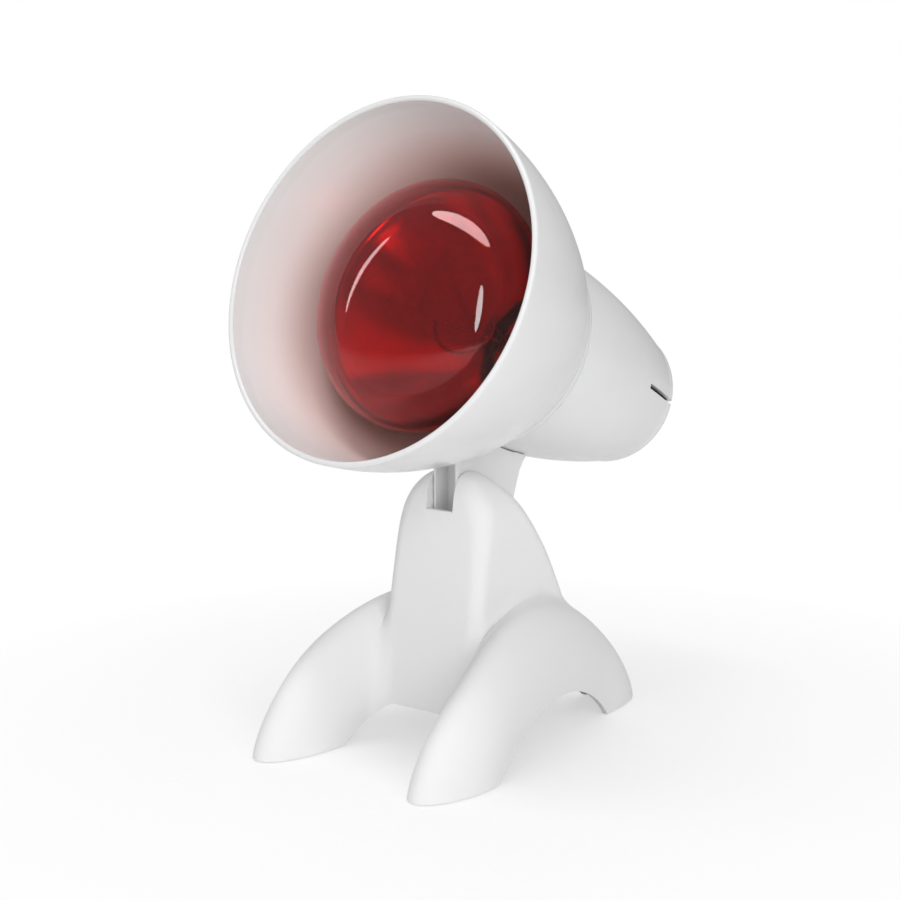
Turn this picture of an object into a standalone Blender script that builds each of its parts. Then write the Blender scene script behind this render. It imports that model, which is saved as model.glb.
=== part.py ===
"""Table-top infrared heat lamp: a bell-shaped hood with a red reflector bulb, tilting on a wishbone stand.

Metres, +Z up, the hood looks towards -Y. The origin is on the table, under the middle of the whole lamp.
Head pieces hang under an empty on the tilt axis, whose local +Z runs out of the hood's mouth and local +Y up.
"""

import math

import bmesh
import bpy
from mathutils import Matrix, Vector

# Allowances
SEAT_GAP = 0.0003
CUT_OVERRUN = 0.004
MERGE_DISTANCE = 0.00002
SCREW_MERGE = 0.00005

# Facets round a turned piece, by how large it is
FINE_STEPS = 32
MEDIUM_STEPS = 20
SMALL_STEPS = 14
TINY_STEPS = 8
SMOOTH_ANGLE = math.radians(35.0)

# Where the lamp stands: the arches' middle lies ahead of the middle of the whole lamp
STAND_SHIFT = -0.01435
FOOT_PAD_PROUD = 0.0005

# Tilt axis, measured from the arches' middle and the table
PIVOT_AHEAD = 0.0030
PIVOT_HEIGHT = 0.0900
TILT_ANGLE = math.radians(20.6)

# Hood
RIM_AHEAD = 0.08136
AXIS_RISE = 0.06321
RIM_RADIUS = 0.0680
HOOD_LENGTH = 0.0744
HOOD_REAR_RADIUS = 0.0430
HOOD_WALL = 0.0018
HOOD_STRAIGHT_SHARE = 0.18
RIM_BEAD = 0.0011
SHOULDER_ROUND = 0.0060
HOOD_OPENING_RADIUS = 0.0280
HOOD_PROFILE_POINTS = 7

# Neck under the hood, a channel open to the front; depths are taken square to its front face
NECK_HALF_WIDTH = 0.0058
NECK_WALL = 0.0012
LUG_RADIUS = 0.0133
CHANNEL_DEPTH = 0.0075
CHANNEL_BELOW_AXIS = 0.0090
NECK_HEIGHT = 0.0340
NECK_REAR = 0.0206
NECK_REAR_LOW = 0.0040
NECK_FLARE_START = 0.0160
NECK_FLARE_MIDDLE = (0.0214, 0.0212)
NECK_FLARE_END = (0.0240, 0.0252)
POCKET_FRONT = 0.0075
POCKET_LOW = 0.0042
NECK_REAR_WALL = 0.0022
LUG_POINTS = 13

# Rear housing; it ends where the leads have had room to turn behind the lampholder
LEAD_ROOM = 0.0232
HOUSING_FRONT_RADIUS = 0.0402
HOUSING_REAR_RADIUS = 0.0284
HOUSING_STRAIGHT_SHARE = 0.13
HOUSING_END_ROUND = 0.0090
HOUSING_WALL = 0.0020
HOUSING_PROFILE_POINTS = 7
HOUSING_SLOT_WIDTH = 0.0020
HOUSING_SLOT_DEPTH = 0.0330

# Stand: column
WALL = 0.0022
COLUMN_BOTTOM = 0.0150
COLUMN_TOP = 0.1038
COLUMN_FRONT = 0.0312
COLUMN_BACK = 0.0435
COLUMN_HALF_WIDTH = 0.0232
# Rows up the column: height, front, back, half width and corner round, corners as shares of the half width
COLUMN_PROFILE_SHARES = (
    (0.000, 1.000, 1.000, 1.000, 0.224),
    (0.146, 0.939, 0.924, 0.991, 0.224),
    (0.324, 0.862, 0.802, 0.974, 0.224),
    (0.472, 0.801, 0.664, 0.957, 0.233),
    (0.609, 0.744, 0.515, 0.944, 0.241),
    (0.700, 0.705, 0.393, 0.940, 0.267),
    (0.777, 0.673, 0.283, 0.927, 0.302),
    (0.845, 0.644, 0.184, 0.875, 0.328),
    (0.901, 0.619, 0.087, 0.763, 0.319),
    (0.946, 0.577, -0.009, 0.612, 0.276),
    (0.980, 0.513, -0.101, 0.431, 0.198),
    (1.000, 0.436, -0.175, 0.233, 0.121),
)
COLUMN_RINGS = 16
CORNER_POINTS = 4
INNER_CORNER_SHARE = 0.25

# Stand: slot between the two ears for the neck
SLOT_CLEARANCE = 0.0005
CHEEK_WALL = 0.0022
FRONT_LIP_HEIGHT = 0.0893
POCKET_CLEARANCE = 0.0017

# Stand: two arched legs, half tubes open below, closer together at the back
LEG_FRONT_SPREAD = 0.0370
LEG_REAR_SPREAD = 0.0183
LEG_TURN_REACH = 0.0500
LEG_HALF_WIDTH = 0.0124
ARCH_OUTER_REACH = 0.0807
ARCH_OUTER_HEIGHT = 0.0536
ARCH_MIDDLE_REACH = 0.0504
ARCH_MIDDLE_HEIGHT = 0.0200
ARCH_EDGE_REACH = 0.0475
ARCH_EDGE_HEIGHT = 0.0194
# Powers that draw each half ellipse in or out: along the arch, then up it
CROWN_CURVE_SHARES = (1.08, 1.40)
MIDDLE_CURVE_SHARES = (1.00, 1.00)
EDGE_CURVE_SHARES = (1.00, 1.70)
# The lower edge is this much flatter to the front and higher to the rear
EDGE_LEAN_SHARE = 0.10
# Behind its middle a leg's inner wall is cut away further than its outer one
INNER_ARCH_CLEARANCE = 0.0007
INNER_ARCH_START = math.radians(88.0)
INNER_ARCH_PAST_CENTRE = 0.0012
INNER_ARCH_POINTS = 9
LEG_STEPS = 20
LEG_SECTION_POINTS = 10
SOLE_THICKNESS = 0.0030

# Foot pads
PAD_RADIUS = 0.0042
PAD_SEAT_DEPTH = 0.0012
PAD_INSET = 0.0092
SOLE_RIM = 0.0015

# Base cover under the column
COVER_THICKNESS = 0.0020
COVER_CLEARANCE = 0.0005
COVER_RISE = 0.0012
POST_RADIUS = 0.0032
POST_HEIGHT = 0.0110
POST_SIDE_SHARE = 0.46
POST_INSET = 0.0044
COVER_SCREW_RADIUS = 0.0014
COVER_SCREW_LENGTH = 0.0090
SCREW_HEAD_RADIUS = 0.0027
SCREW_HEAD_HEIGHT = 0.0012
HEAD_CROWN_SHARE = 0.7
HEAD_EDGE_SHARE = 0.55
SCREW_TIP_SHARE = 0.5

# Tilt hinge
BOLT_RADIUS = 0.0025
BOLT_HEAD_RADIUS = 0.0044
BOLT_HEAD_HEIGHT = 0.0026
BOLT_CLEARANCE = 0.0003
WASHER_RADIUS = 0.0048
WASHER_THICKNESS = 0.0009
SPRING_WASHER_THICKNESS = 0.0010
NUT_RADIUS = 0.0046
NUT_HEIGHT = 0.0027
BOLT_WELL_RADIUS = 0.0054
BOLT_WELL_WALL = 0.0014
FRICTION_WASHER_RADIUS = 0.0080
FRICTION_WASHER_THICKNESS = 0.0007

# Bulb
BULB_STEPS = 28
BULB_RADIUS = 0.0475
BULB_DOME_HEIGHT = 0.0272
BULB_GLASS = 0.0009
BULB_LENGTH = 0.1040
BULB_NECK_RADIUS = 0.0152
BULB_SEAL_RADIUS = 0.0118
BULB_SEAL_LENGTH = 0.0065
# Rows down the bulb's back: length, radius, shares from the widest circle to the neck
BULB_BACK_SHARES = (
    (0.00, 1.000),
    (0.05, 0.980),
    (0.12, 0.905),
    (0.24, 0.760),
    (0.53, 0.370),
    (0.63, 0.235),
    (0.73, 0.110),
    (0.84, 0.025),
    (1.00, 0.000),
)
# How far down the bulb's back the hood's back wall passes round it
BULB_WALL_SHARE = 0.6185
DOME_POINTS = 8
MIRROR_THICKNESS = 0.0003

# Bulb cap and its inner mount
CAP_RADIUS = 0.0131
CAP_WALL = 0.0004
CAP_LENGTH = 0.0220
CAP_THREADS = 5
CAP_THREAD_DEPTH = 0.0006
CAP_INSULATOR_LENGTH = 0.0042
CAP_INSULATOR_END_RADIUS = 0.0062
TIP_RADIUS = 0.0046
TIP_HEIGHT = 0.0018
TIP_CROWN_SHARE = 0.8
TIP_EDGE_SHARE = 0.7
STEM_RADIUS = 0.0048
STEM_LENGTH = 0.0300
STEM_FLARE_RADIUS = 0.0104
STEM_FLARE_LENGTH = 0.0075
STEM_SEAT = 0.0022
FILAMENT_BEHIND_WIDEST = 0.0231
FILAMENT_HALF_WIDTH = 0.0130
FILAMENT_BOW = 0.0117
FILAMENT_OVERHANG = 0.0013
FILAMENT_RADIUS = 0.0006
FILAMENT_POINTS = 11
SUPPORT_WIRE_RADIUS = 0.0005
STEM_WIRE_SPREAD = 0.0026
STEM_WIRE_RISE = 0.0052

# Lampholder
HOLDER_RADIUS = 0.0190
HOLDER_SHELL_GAP = 0.0005
HOLDER_SHELL_WALL = 0.0005
HOLDER_FLOOR = 0.0070
TONGUE_LENGTH = 0.0110
TONGUE_WIDTH = 0.0060
TONGUE_THICKNESS = 0.0006

# Bracket that carries the lampholder on the hood's back wall
BRACKET_HALF_SPAN = 0.0262
BRACKET_WIDTH = 0.0120
BRACKET_THICKNESS = 0.0012
BRACKET_FOOT = 0.0098
BRACKET_HOLE_OUT = 0.0058
BRACKET_SCREW_RADIUS = 0.0015
HOLDER_SCREW_SPREAD = 0.0125

# Housing screws and cord gland
HOUSING_SCREW_RADIUS = 0.0015
HOUSING_POST_RADIUS = 0.0039
HOUSING_POST_OFFSET = 0.0345
HOUSING_SCREW_ANGLE = math.radians(30.0)
HOUSING_POST_LENGTH = 0.0130
HOUSING_SCREW_LENGTH = 0.0110
HOUSING_SCREW_HEAD_RADIUS = 0.0024
HOLDER_SCREW_LENGTH = 0.0055
BRACKET_SCREW_LENGTH = 0.0050
GLAND_RADIUS = 0.0060
GLAND_HOLE_RADIUS = 0.0032
GLAND_FLANGE = 0.0016
GLAND_DROP = 0.0112
LEAD_RADIUS = 0.0011
LEAD_SPREAD = 0.0017
LEAD_BEND_SHARE = 0.33
TERMINAL_RADIUS = 0.0024
TERMINAL_HEIGHT = 0.0030
TERMINAL_OFFSET = 0.0135

# Finishes: colour, roughness, metallic
WHITE_PLASTIC = ((0.86, 0.86, 0.86, 1.0), 0.22, 0.0)
RED_GLASS = ((0.36, 0.01, 0.02, 1.0), 0.06, 0.0)
MIRROR_COAT = ((0.90, 0.88, 0.86, 1.0), 0.08, 1.0)
NICKEL = ((0.72, 0.70, 0.66, 1.0), 0.28, 1.0)
BRASS = ((0.78, 0.60, 0.30, 1.0), 0.30, 1.0)
STEEL = ((0.62, 0.62, 0.64, 1.0), 0.32, 1.0)
TUNGSTEN = ((0.22, 0.22, 0.23, 1.0), 0.50, 1.0)
CERAMIC = ((0.80, 0.78, 0.73, 1.0), 0.45, 0.0)
BLACK_GLASS = ((0.03, 0.03, 0.04, 1.0), 0.20, 0.0)
CLEAR_GLASS = ((0.78, 0.80, 0.80, 1.0), 0.10, 0.0)
RUBBER = ((0.05, 0.05, 0.05, 1.0), 0.80, 0.0)
NYLON = ((0.85, 0.83, 0.78, 1.0), 0.50, 0.0)
BROWN_SLEEVE = ((0.16, 0.07, 0.03, 1.0), 0.50, 0.0)
BLUE_SLEEVE = ((0.03, 0.10, 0.42, 1.0), 0.50, 0.0)
WHITE_RUBBER = ((0.74, 0.74, 0.73, 1.0), 0.60, 0.0)

# Sizes that follow from the ones above
PIVOT = Vector((0.0, STAND_SHIFT - PIVOT_AHEAD, PIVOT_HEIGHT))
SLOT_HALF_WIDTH = NECK_HALF_WIDTH + SLOT_CLEARANCE
CHEEK_OUTER = SLOT_HALF_WIDTH + CHEEK_WALL
HOOD_END = HOOD_LENGTH + SHOULDER_ROUND
POCKET_RADIUS = LUG_RADIUS + POCKET_CLEARANCE

# A sole reaches in past its pad, and the inner wall's cut ends short of it
PAD_REACH = ARCH_OUTER_REACH - PAD_INSET
SOLE_START = PAD_REACH - PAD_RADIUS - SEAT_GAP - SOLE_RIM
INNER_ARCH_REACH = SOLE_START - INNER_ARCH_CLEARANCE

# Depths behind the rim, from the bulb back to the bracket
BULB_WIDEST = HOOD_END - (BULB_LENGTH - BULB_DOME_HEIGHT) * BULB_WALL_SHARE
BULB_APEX_DEPTH = BULB_WIDEST - BULB_DOME_HEIGHT
BULB_NECK_END = BULB_APEX_DEPTH + BULB_LENGTH
CAP_START = BULB_NECK_END + SEAT_GAP
CAP_END = CAP_START + CAP_LENGTH
INSULATOR_END = CAP_END + SEAT_GAP + CAP_INSULATOR_LENGTH
TIP_END = INSULATOR_END + SEAT_GAP + TIP_HEIGHT
TONGUE_FACE = TIP_END + SEAT_GAP
HOLDER_FLOOR_FACE = TONGUE_FACE + TONGUE_THICKNESS + SEAT_GAP
HOLDER_END = HOLDER_FLOOR_FACE + HOLDER_FLOOR
BRACKET_FACE = HOLDER_END + SEAT_GAP
HOLDER_BORE = CAP_RADIUS + HOLDER_SHELL_GAP + HOLDER_SHELL_WALL + SEAT_GAP

# The housing starts at the hood's back and ends behind the leads
HOUSING_START = HOOD_END + SEAT_GAP
HOUSING_LENGTH = HOLDER_END + LEAD_ROOM - HOUSING_START


def clear_scene():
    """Start from an empty file."""
    for old in list(bpy.data.objects):
        bpy.data.objects.remove(old, do_unlink=True)


def new_collection(name):
    collection = bpy.data.collections.new(name)
    bpy.context.scene.collection.children.link(collection)
    return collection


def finish_material(name, finish):
    """A Principled material from (colour, roughness, metallic)."""
    colour, roughness, metallic = finish
    material = bpy.data.materials.new(name)
    material.use_nodes = True
    shader = material.node_tree.nodes["Principled BSDF"]
    shader.inputs["Base Color"].default_value = colour
    shader.inputs["Roughness"].default_value = roughness
    shader.inputs["Metallic"].default_value = metallic
    material.diffuse_color = colour
    return material


def add_object(name, data, collection):
    piece = bpy.data.objects.new(name, data)
    collection.objects.link(piece)
    return piece


def dress(piece, finish):
    """Give a piece its own material and smooth shading with crisp corners."""
    piece.data.materials.clear()
    piece.data.materials.append(finish_material(piece.name + "_finish", finish))
    if piece.type == "MESH":
        piece.data.shade_smooth()
        piece.data.set_sharp_from_angle(angle=SMOOTH_ANGLE)
    return piece


def hang(piece, parent, location=(0.0, 0.0, 0.0), rotation=(0.0, 0.0, 0.0)):
    piece.parent = parent
    piece.location = location
    piece.rotation_euler = rotation
    return piece


def turn(name, outline, collection, steps, closed=True):
    """Turn (radius, z) points round Z; a closed outline is a ring, an open one ends on the axis."""
    mesh = bpy.data.meshes.new(name)
    count = len(outline)
    edges = [(i, i + 1) for i in range(count - 1)]
    if closed:
        edges.append((count - 1, 0))
    mesh.from_pydata([(radius, 0.0, height) for radius, height in outline], edges, [])
    piece = add_object(name, mesh, collection)
    lathe = piece.modifiers.new("Turned", "SCREW")
    lathe.axis = "Z"
    lathe.angle = math.tau
    lathe.steps = steps
    lathe.render_steps = steps
    lathe.use_merge_vertices = True
    lathe.merge_threshold = SCREW_MERGE
    lathe.use_smooth_shade = True
    return piece


def bake(piece):
    """Replace a piece by the mesh that its modifiers make, in its own space."""
    bpy.context.view_layer.update()
    shaped = piece.evaluated_get(bpy.context.evaluated_depsgraph_get())
    mesh = bpy.data.meshes.new_from_object(shaped)
    mesh.name = piece.name
    if piece.type == "MESH":
        piece.modifiers.clear()
        piece.data = mesh
        return piece
    place, name, collection = piece.matrix_world.copy(), piece.name, piece.users_collection[0]
    bpy.data.objects.remove(piece)
    weld = bmesh.new()
    weld.from_mesh(mesh)
    bmesh.ops.remove_doubles(weld, verts=weld.verts, dist=MERGE_DISTANCE)
    weld.to_mesh(mesh)
    weld.free()
    solid = add_object(name, mesh, collection)
    solid.matrix_world = place
    return solid


def settle(piece):
    """Apply a piece's own placement to its mesh."""
    bpy.context.view_layer.update()
    piece.data.transform(piece.matrix_world)
    piece.matrix_world = Matrix.Identity(4)
    return piece


def combine(piece, tool, operation):
    """Boolean a tool into a piece, keeping the exact solver."""
    step = piece.modifiers.new(operation.title() + " " + tool.name, "BOOLEAN")
    step.operation = operation
    step.solver = "EXACT"
    step.object = tool
    return step


def cutter(tool):
    """A guide that only cuts or joins: left out of the build."""
    tool.hide_render = True
    tool.display_type = "WIRE"
    return tool


def box(name, low, high, collection):
    """A box between two corners, with its scale applied."""
    mesh = bpy.data.meshes.new(name)
    shape = bmesh.new()
    bmesh.ops.create_cube(shape, size=1.0)
    size = Vector(high) - Vector(low)
    middle = (Vector(high) + Vector(low)) / 2
    stretch = Matrix.Translation(middle) @ Matrix.Diagonal((*size, 1.0))
    bmesh.ops.transform(shape, matrix=stretch, verts=shape.verts)
    shape.to_mesh(mesh)
    shape.free()
    return add_object(name, mesh, collection)


def rod(name, radius, start, end, collection, steps=SMALL_STEPS, end_radius=None):
    """A cylinder or cone from one point to another."""
    start, end = Vector(start), Vector(end)
    mesh = bpy.data.meshes.new(name)
    shape = bmesh.new()
    far_radius = radius if end_radius is None else end_radius
    span = end - start
    bmesh.ops.create_cone(shape, cap_ends=True, segments=steps, radius1=radius, radius2=far_radius,
                          depth=span.length)
    aim = span.to_track_quat("Z", "Y").to_matrix().to_4x4()
    bmesh.ops.transform(shape, matrix=Matrix.Translation((start + end) / 2) @ aim, verts=shape.verts)
    shape.to_mesh(mesh)
    shape.free()
    return add_object(name, mesh, collection)


def plate(name, outline, half_thickness, collection):
    """A flat outline in local XY, filled both sides and extruded by half its thickness."""
    flat = bpy.data.curves.new(name, "CURVE")
    flat.dimensions = "2D"
    flat.fill_mode = "BOTH"
    flat.extrude = half_thickness
    line = flat.splines.new("POLY")
    line.points.add(len(outline) - 1)
    for point, (x, y) in zip(line.points, outline):
        point.co = (x, y, 0.0, 1.0)
    line.use_cyclic_u = True
    return add_object(name, flat, collection)


def wire(name, points, radius, collection, sides=2):
    """A round wire through points, with filled caps."""
    line = bpy.data.curves.new(name, "CURVE")
    line.dimensions = "3D"
    line.bevel_depth = radius
    line.bevel_resolution = sides
    line.use_fill_caps = True
    run = line.splines.new("POLY")
    run.points.add(len(points) - 1)
    for point, place in zip(run.points, points):
        point.co = (*place, 1.0)
    return add_object(name, line, collection)


def loft(name, rings, collection):
    """Skin closed rings of equal length and cap both ends."""
    shape = bmesh.new()
    rows = [[shape.verts.new(point) for point in ring] for ring in rings]
    count = len(rings[0])
    for lower, upper in zip(rows, rows[1:]):
        for i in range(count):
            j = (i + 1) % count
            shape.faces.new((lower[i], lower[j], upper[j], upper[i]))
    shape.faces.new(list(reversed(rows[0])))
    shape.faces.new(rows[-1])
    bmesh.ops.recalc_face_normals(shape, faces=shape.faces)
    mesh = bpy.data.meshes.new(name)
    shape.to_mesh(mesh)
    shape.free()
    return add_object(name, mesh, collection)


def smooth_rows(rows, count):
    """Resample a table of rows by a smooth curve through them."""
    result = []
    for k in range(count):
        place = k * (len(rows) - 1) / (count - 1)
        i = min(int(place), len(rows) - 2)
        t = place - i
        before, start = rows[max(i - 1, 0)], rows[i]
        end, after = rows[i + 1], rows[min(i + 2, len(rows) - 1)]
        row = []
        for a, b, c, d in zip(before, start, end, after):
            row.append(0.5 * (2 * b + (c - a) * t + (2 * a - 5 * b + 4 * c - d) * t ** 2
                              + (3 * b - a - 3 * c + d) * t ** 3))
        result.append(tuple(row))
    return result


def bell_radius(depth, front_radius, rear_radius, length, straight_share):
    """A flare that starts nearly straight and closes in faster towards the back."""
    share = depth / length
    closed = straight_share * share + (1 - straight_share) * share ** 2
    return front_radius - (front_radius - rear_radius) * closed


def hood_radius(depth, inset=0.0):
    return bell_radius(depth, RIM_RADIUS, HOOD_REAR_RADIUS, HOOD_LENGTH, HOOD_STRAIGHT_SHARE) - inset


def housing_radius(depth, inset=0.0):
    return bell_radius(depth - HOUSING_START, HOUSING_FRONT_RADIUS, HOUSING_REAR_RADIUS,
                       HOUSING_LENGTH - HOUSING_END_ROUND, HOUSING_STRAIGHT_SHARE) - inset


def arc(centre_radius, centre_z, radius, start, end, count):
    """Points (radius, z) along an arc, angles from straight out to straight down."""
    points = []
    for k in range(count):
        angle = start + (end - start) * k / (count - 1)
        points.append((centre_radius + radius * math.cos(angle), centre_z - radius * math.sin(angle)))
    return points


def hood_outline():
    """The bell's wall: outside from the rim back, across the back wall, then inside to the rim."""
    depths = [HOOD_LENGTH * (k + 1) / HOOD_PROFILE_POINTS for k in range(HOOD_PROFILE_POINTS - 1)]
    outer = [(hood_radius(depth), -depth) for depth in depths]
    inner = [(hood_radius(depth, HOOD_WALL), -depth) for depth in reversed(depths)]
    bead = arc(RIM_RADIUS - RIM_BEAD, -RIM_BEAD, RIM_BEAD, -math.pi / 2, 0.0, 4)
    bead_inside = arc(RIM_RADIUS - RIM_BEAD, -RIM_BEAD, RIM_BEAD, -math.pi, -math.pi / 2, 4)
    corner_radius = HOOD_REAR_RADIUS - SHOULDER_ROUND
    shoulder = arc(corner_radius, -HOOD_LENGTH, SHOULDER_ROUND, 0.0, math.pi / 2, 5)
    inside_round = SHOULDER_ROUND - HOOD_WALL
    inside = arc(corner_radius, -HOOD_LENGTH, inside_round, math.pi / 2, 0.0, 4)
    back = [(HOOD_OPENING_RADIUS, -HOOD_END), (HOOD_OPENING_RADIUS, HOOD_WALL - HOOD_END)]
    return bead + outer + shoulder + back + inside + inner + bead_inside[:-1]


def hood_core_outline():
    """The space that the neck's top may not enter: just under the hood's skin, and clear of the housing."""
    skin = HOOD_WALL / 2
    depths = [HOOD_LENGTH * k / HOOD_PROFILE_POINTS for k in range(HOOD_PROFILE_POINTS + 1)]
    front = [(hood_radius(depth, skin), -depth) for depth in depths]
    middle = [(HOUSING_FRONT_RADIUS + SEAT_GAP, -HOOD_END + HOOD_WALL)]
    steps = [HOUSING_START + (HOUSING_LENGTH - HOUSING_END_ROUND) * k / HOUSING_PROFILE_POINTS
             for k in range(HOUSING_PROFILE_POINTS)]
    rear = [(housing_radius(depth) + SEAT_GAP, -depth) for depth in steps]
    return [(0.0, 0.0)] + front + middle + rear + [(0.0, -steps[-1])]


def neck_point(along, ahead):
    """A point (forward, up), measured up the neck's front face and square out of it from the tilt axis."""
    lean = TILT_ANGLE
    return (along * math.sin(lean) + ahead * math.cos(lean), along * math.cos(lean) - ahead * math.sin(lean))


def neck_side_outline():
    """Side view of the neck: a round lug below, a front face tangent to it, and a rear edge that flares."""
    rear = (-NECK_REAR, NECK_REAR_LOW)
    start = -TILT_ANGLE
    reach = math.hypot(*rear)
    end = math.atan2(rear[1], rear[0]) + math.acos(LUG_RADIUS / reach) - math.tau
    points = [neck_point(NECK_HEIGHT, LUG_RADIUS)]
    for k in range(LUG_POINTS):
        angle = start + (end - start) * k / (LUG_POINTS - 1)
        points.append((LUG_RADIUS * math.cos(angle), LUG_RADIUS * math.sin(angle)))
    points += [rear, (-NECK_REAR, NECK_FLARE_START), (-NECK_FLARE_MIDDLE[0], NECK_FLARE_MIDDLE[1])]
    points += [(-NECK_FLARE_END[0], NECK_FLARE_END[1]), (-NECK_FLARE_END[0], NECK_HEIGHT)]
    return points


def neck_channel_outline():
    """The recess in the neck's front, as deep along the whole face."""
    back = LUG_RADIUS - CHANNEL_DEPTH
    front = LUG_RADIUS + CUT_OVERRUN
    return [neck_point(-CHANNEL_BELOW_AXIS, back), neck_point(-CHANNEL_BELOW_AXIS, front),
            neck_point(NECK_HEIGHT + CUT_OVERRUN, front), neck_point(NECK_HEIGHT + CUT_OVERRUN, back)]


def neck_pocket_outline():
    """The hollow behind the tilt axis, open at the top under the rear housing."""
    wall = NECK_REAR_WALL
    top = NECK_HEIGHT + CUT_OVERRUN
    return [(-POCKET_FRONT, top), (-POCKET_FRONT, -POCKET_LOW), (-POCKET_FRONT - wall, -POCKET_LOW),
            (wall - NECK_REAR, NECK_REAR_LOW + wall / 2), (wall - NECK_REAR, NECK_FLARE_START),
            (wall - NECK_FLARE_END[0], NECK_FLARE_END[1]), (wall - NECK_FLARE_END[0], top)]


def side_block(name, outline, half_width, collection):
    """A side view of (forward, up) points made solid across the head."""
    block = plate(name, outline, half_width, collection)
    block.rotation_euler = (0.0, -math.pi / 2, 0.0)
    return settle(bake(block))


def make_hood(parts, tools, pivot):
    hood = bake(turn("hood", hood_outline(), parts, FINE_STEPS))
    hood.data.transform(Matrix.Translation((0.0, AXIS_RISE, RIM_AHEAD)))
    neck = side_block("neck_block", neck_side_outline(), NECK_HALF_WIDTH, tools)
    channel = side_block("neck_channel", neck_channel_outline(), NECK_HALF_WIDTH - NECK_WALL, tools)
    pocket = side_block("neck_hollow", neck_pocket_outline(), NECK_HALF_WIDTH - NECK_WALL, tools)
    core = bake(turn("hood_core", hood_core_outline(), tools, FINE_STEPS, closed=False))
    core.data.transform(Matrix.Translation((0.0, AXIS_RISE, RIM_AHEAD)))
    reach = NECK_HALF_WIDTH + CUT_OVERRUN
    bore = rod("neck_bore", BOLT_RADIUS + BOLT_CLEARANCE, (-reach, 0.0, 0.0), (reach, 0.0, 0.0), tools)
    for tool in (channel, pocket, core, bore):
        combine(neck, tool, "DIFFERENCE")
    neck = bake(neck)
    combine(hood, neck, "UNION")
    screws = [rod("hood_screw_hole", HOUSING_SCREW_RADIUS + SEAT_GAP, (x, y, z + CUT_OVERRUN),
                  (x, y, z - CUT_OVERRUN), tools, TINY_STEPS)
              for x, y, z in housing_screw_places() + bracket_foot_places()]
    for hole in screws:
        combine(hood, hole, "DIFFERENCE")
    hood = bake(hood)
    for tool in (neck, channel, pocket, core, bore, *screws):
        hang(cutter(tool), pivot)
    return hang(dress(hood, WHITE_PLASTIC), pivot)


def housing_screw_places():
    """Four screws in the hood's back wall, at its inner face, two on each side."""
    depth = RIM_AHEAD - HOOD_END + HOOD_WALL
    tilt = HOUSING_SCREW_ANGLE
    angles = [tilt, math.pi - tilt, math.pi + tilt, -tilt]
    radius = HOUSING_POST_OFFSET
    return [(radius * math.cos(angle), AXIS_RISE + radius * math.sin(angle), depth) for angle in angles]


def bracket_foot_places():
    """Where the two bracket screws pass the hood's back wall, at its inner face."""
    depth = RIM_AHEAD - HOOD_END + HOOD_WALL
    return [(side * (BRACKET_HALF_SPAN + BRACKET_HOLE_OUT), AXIS_RISE, depth) for side in (-1, 1)]


def housing_outline():
    """The rear housing's wall, closed by a rounded end."""
    straight = HOUSING_LENGTH - HOUSING_END_ROUND
    last = HOUSING_PROFILE_POINTS - 1
    depths = [HOUSING_START + straight * k / last for k in range(HOUSING_PROFILE_POINTS)]
    outer = [(housing_radius(depth), -depth) for depth in depths]
    inner = [(housing_radius(depth, HOUSING_WALL), -depth) for depth in reversed(depths)]
    end = depths[-1]
    corner = HOUSING_REAR_RADIUS - HOUSING_END_ROUND
    outside = arc(corner, -end, HOUSING_END_ROUND, 0.0, math.pi / 2, 6)[1:]
    inside = arc(corner, -end, HOUSING_END_ROUND - HOUSING_WALL, math.pi / 2, 0.0, 5)[:-1]
    tip = -(end + HOUSING_END_ROUND)
    return [(0.0, tip + HOUSING_WALL)] + inside + inner + outer + outside + [(0.0, tip)]


def gland_place():
    """Where the cord gland sits on the housing's flat end, in the head's frame."""
    return Vector((0.0, AXIS_RISE - GLAND_DROP, RIM_AHEAD - HOUSING_START - HOUSING_LENGTH))


def make_housing(parts, tools, pivot):
    housing = bake(turn("rear_housing", housing_outline(), parts, FINE_STEPS, closed=False))
    housing.data.transform(Matrix.Translation((0.0, AXIS_RISE, RIM_AHEAD)))
    front = RIM_AHEAD - HOUSING_START
    posts, bores = [], []
    for x, y, _ in housing_screw_places():
        posts.append(rod("housing_post", HOUSING_POST_RADIUS, (x, y, front - SEAT_GAP),
                         (x, y, front - HOUSING_POST_LENGTH), tools))
        bores.append(rod("housing_post_bore", HOUSING_SCREW_RADIUS + SEAT_GAP, (x, y, front + CUT_OVERRUN),
                         (x, y, front - HOUSING_SCREW_LENGTH), tools, TINY_STEPS))
    for post in posts:
        combine(housing, post, "UNION")
    end = RIM_AHEAD - HOUSING_START - HOUSING_LENGTH
    half = HOUSING_SLOT_WIDTH / 2
    side = HOUSING_FRONT_RADIUS + CUT_OVERRUN
    slot = box("housing_slot", (-side, AXIS_RISE - half, end - CUT_OVERRUN),
               (side, AXIS_RISE + half, end + HOUSING_SLOT_DEPTH), tools)
    place = gland_place()
    hole = rod("gland_hole", GLAND_RADIUS + SEAT_GAP, place + Vector((0.0, 0.0, CUT_OVERRUN)),
               place - Vector((0.0, 0.0, CUT_OVERRUN)), tools)
    for tool in (slot, hole, *bores):
        combine(housing, tool, "DIFFERENCE")
    housing = bake(housing)
    for tool in (slot, hole, *posts, *bores):
        hang(cutter(tool), pivot)
    return hang(dress(housing, WHITE_PLASTIC), pivot)


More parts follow.
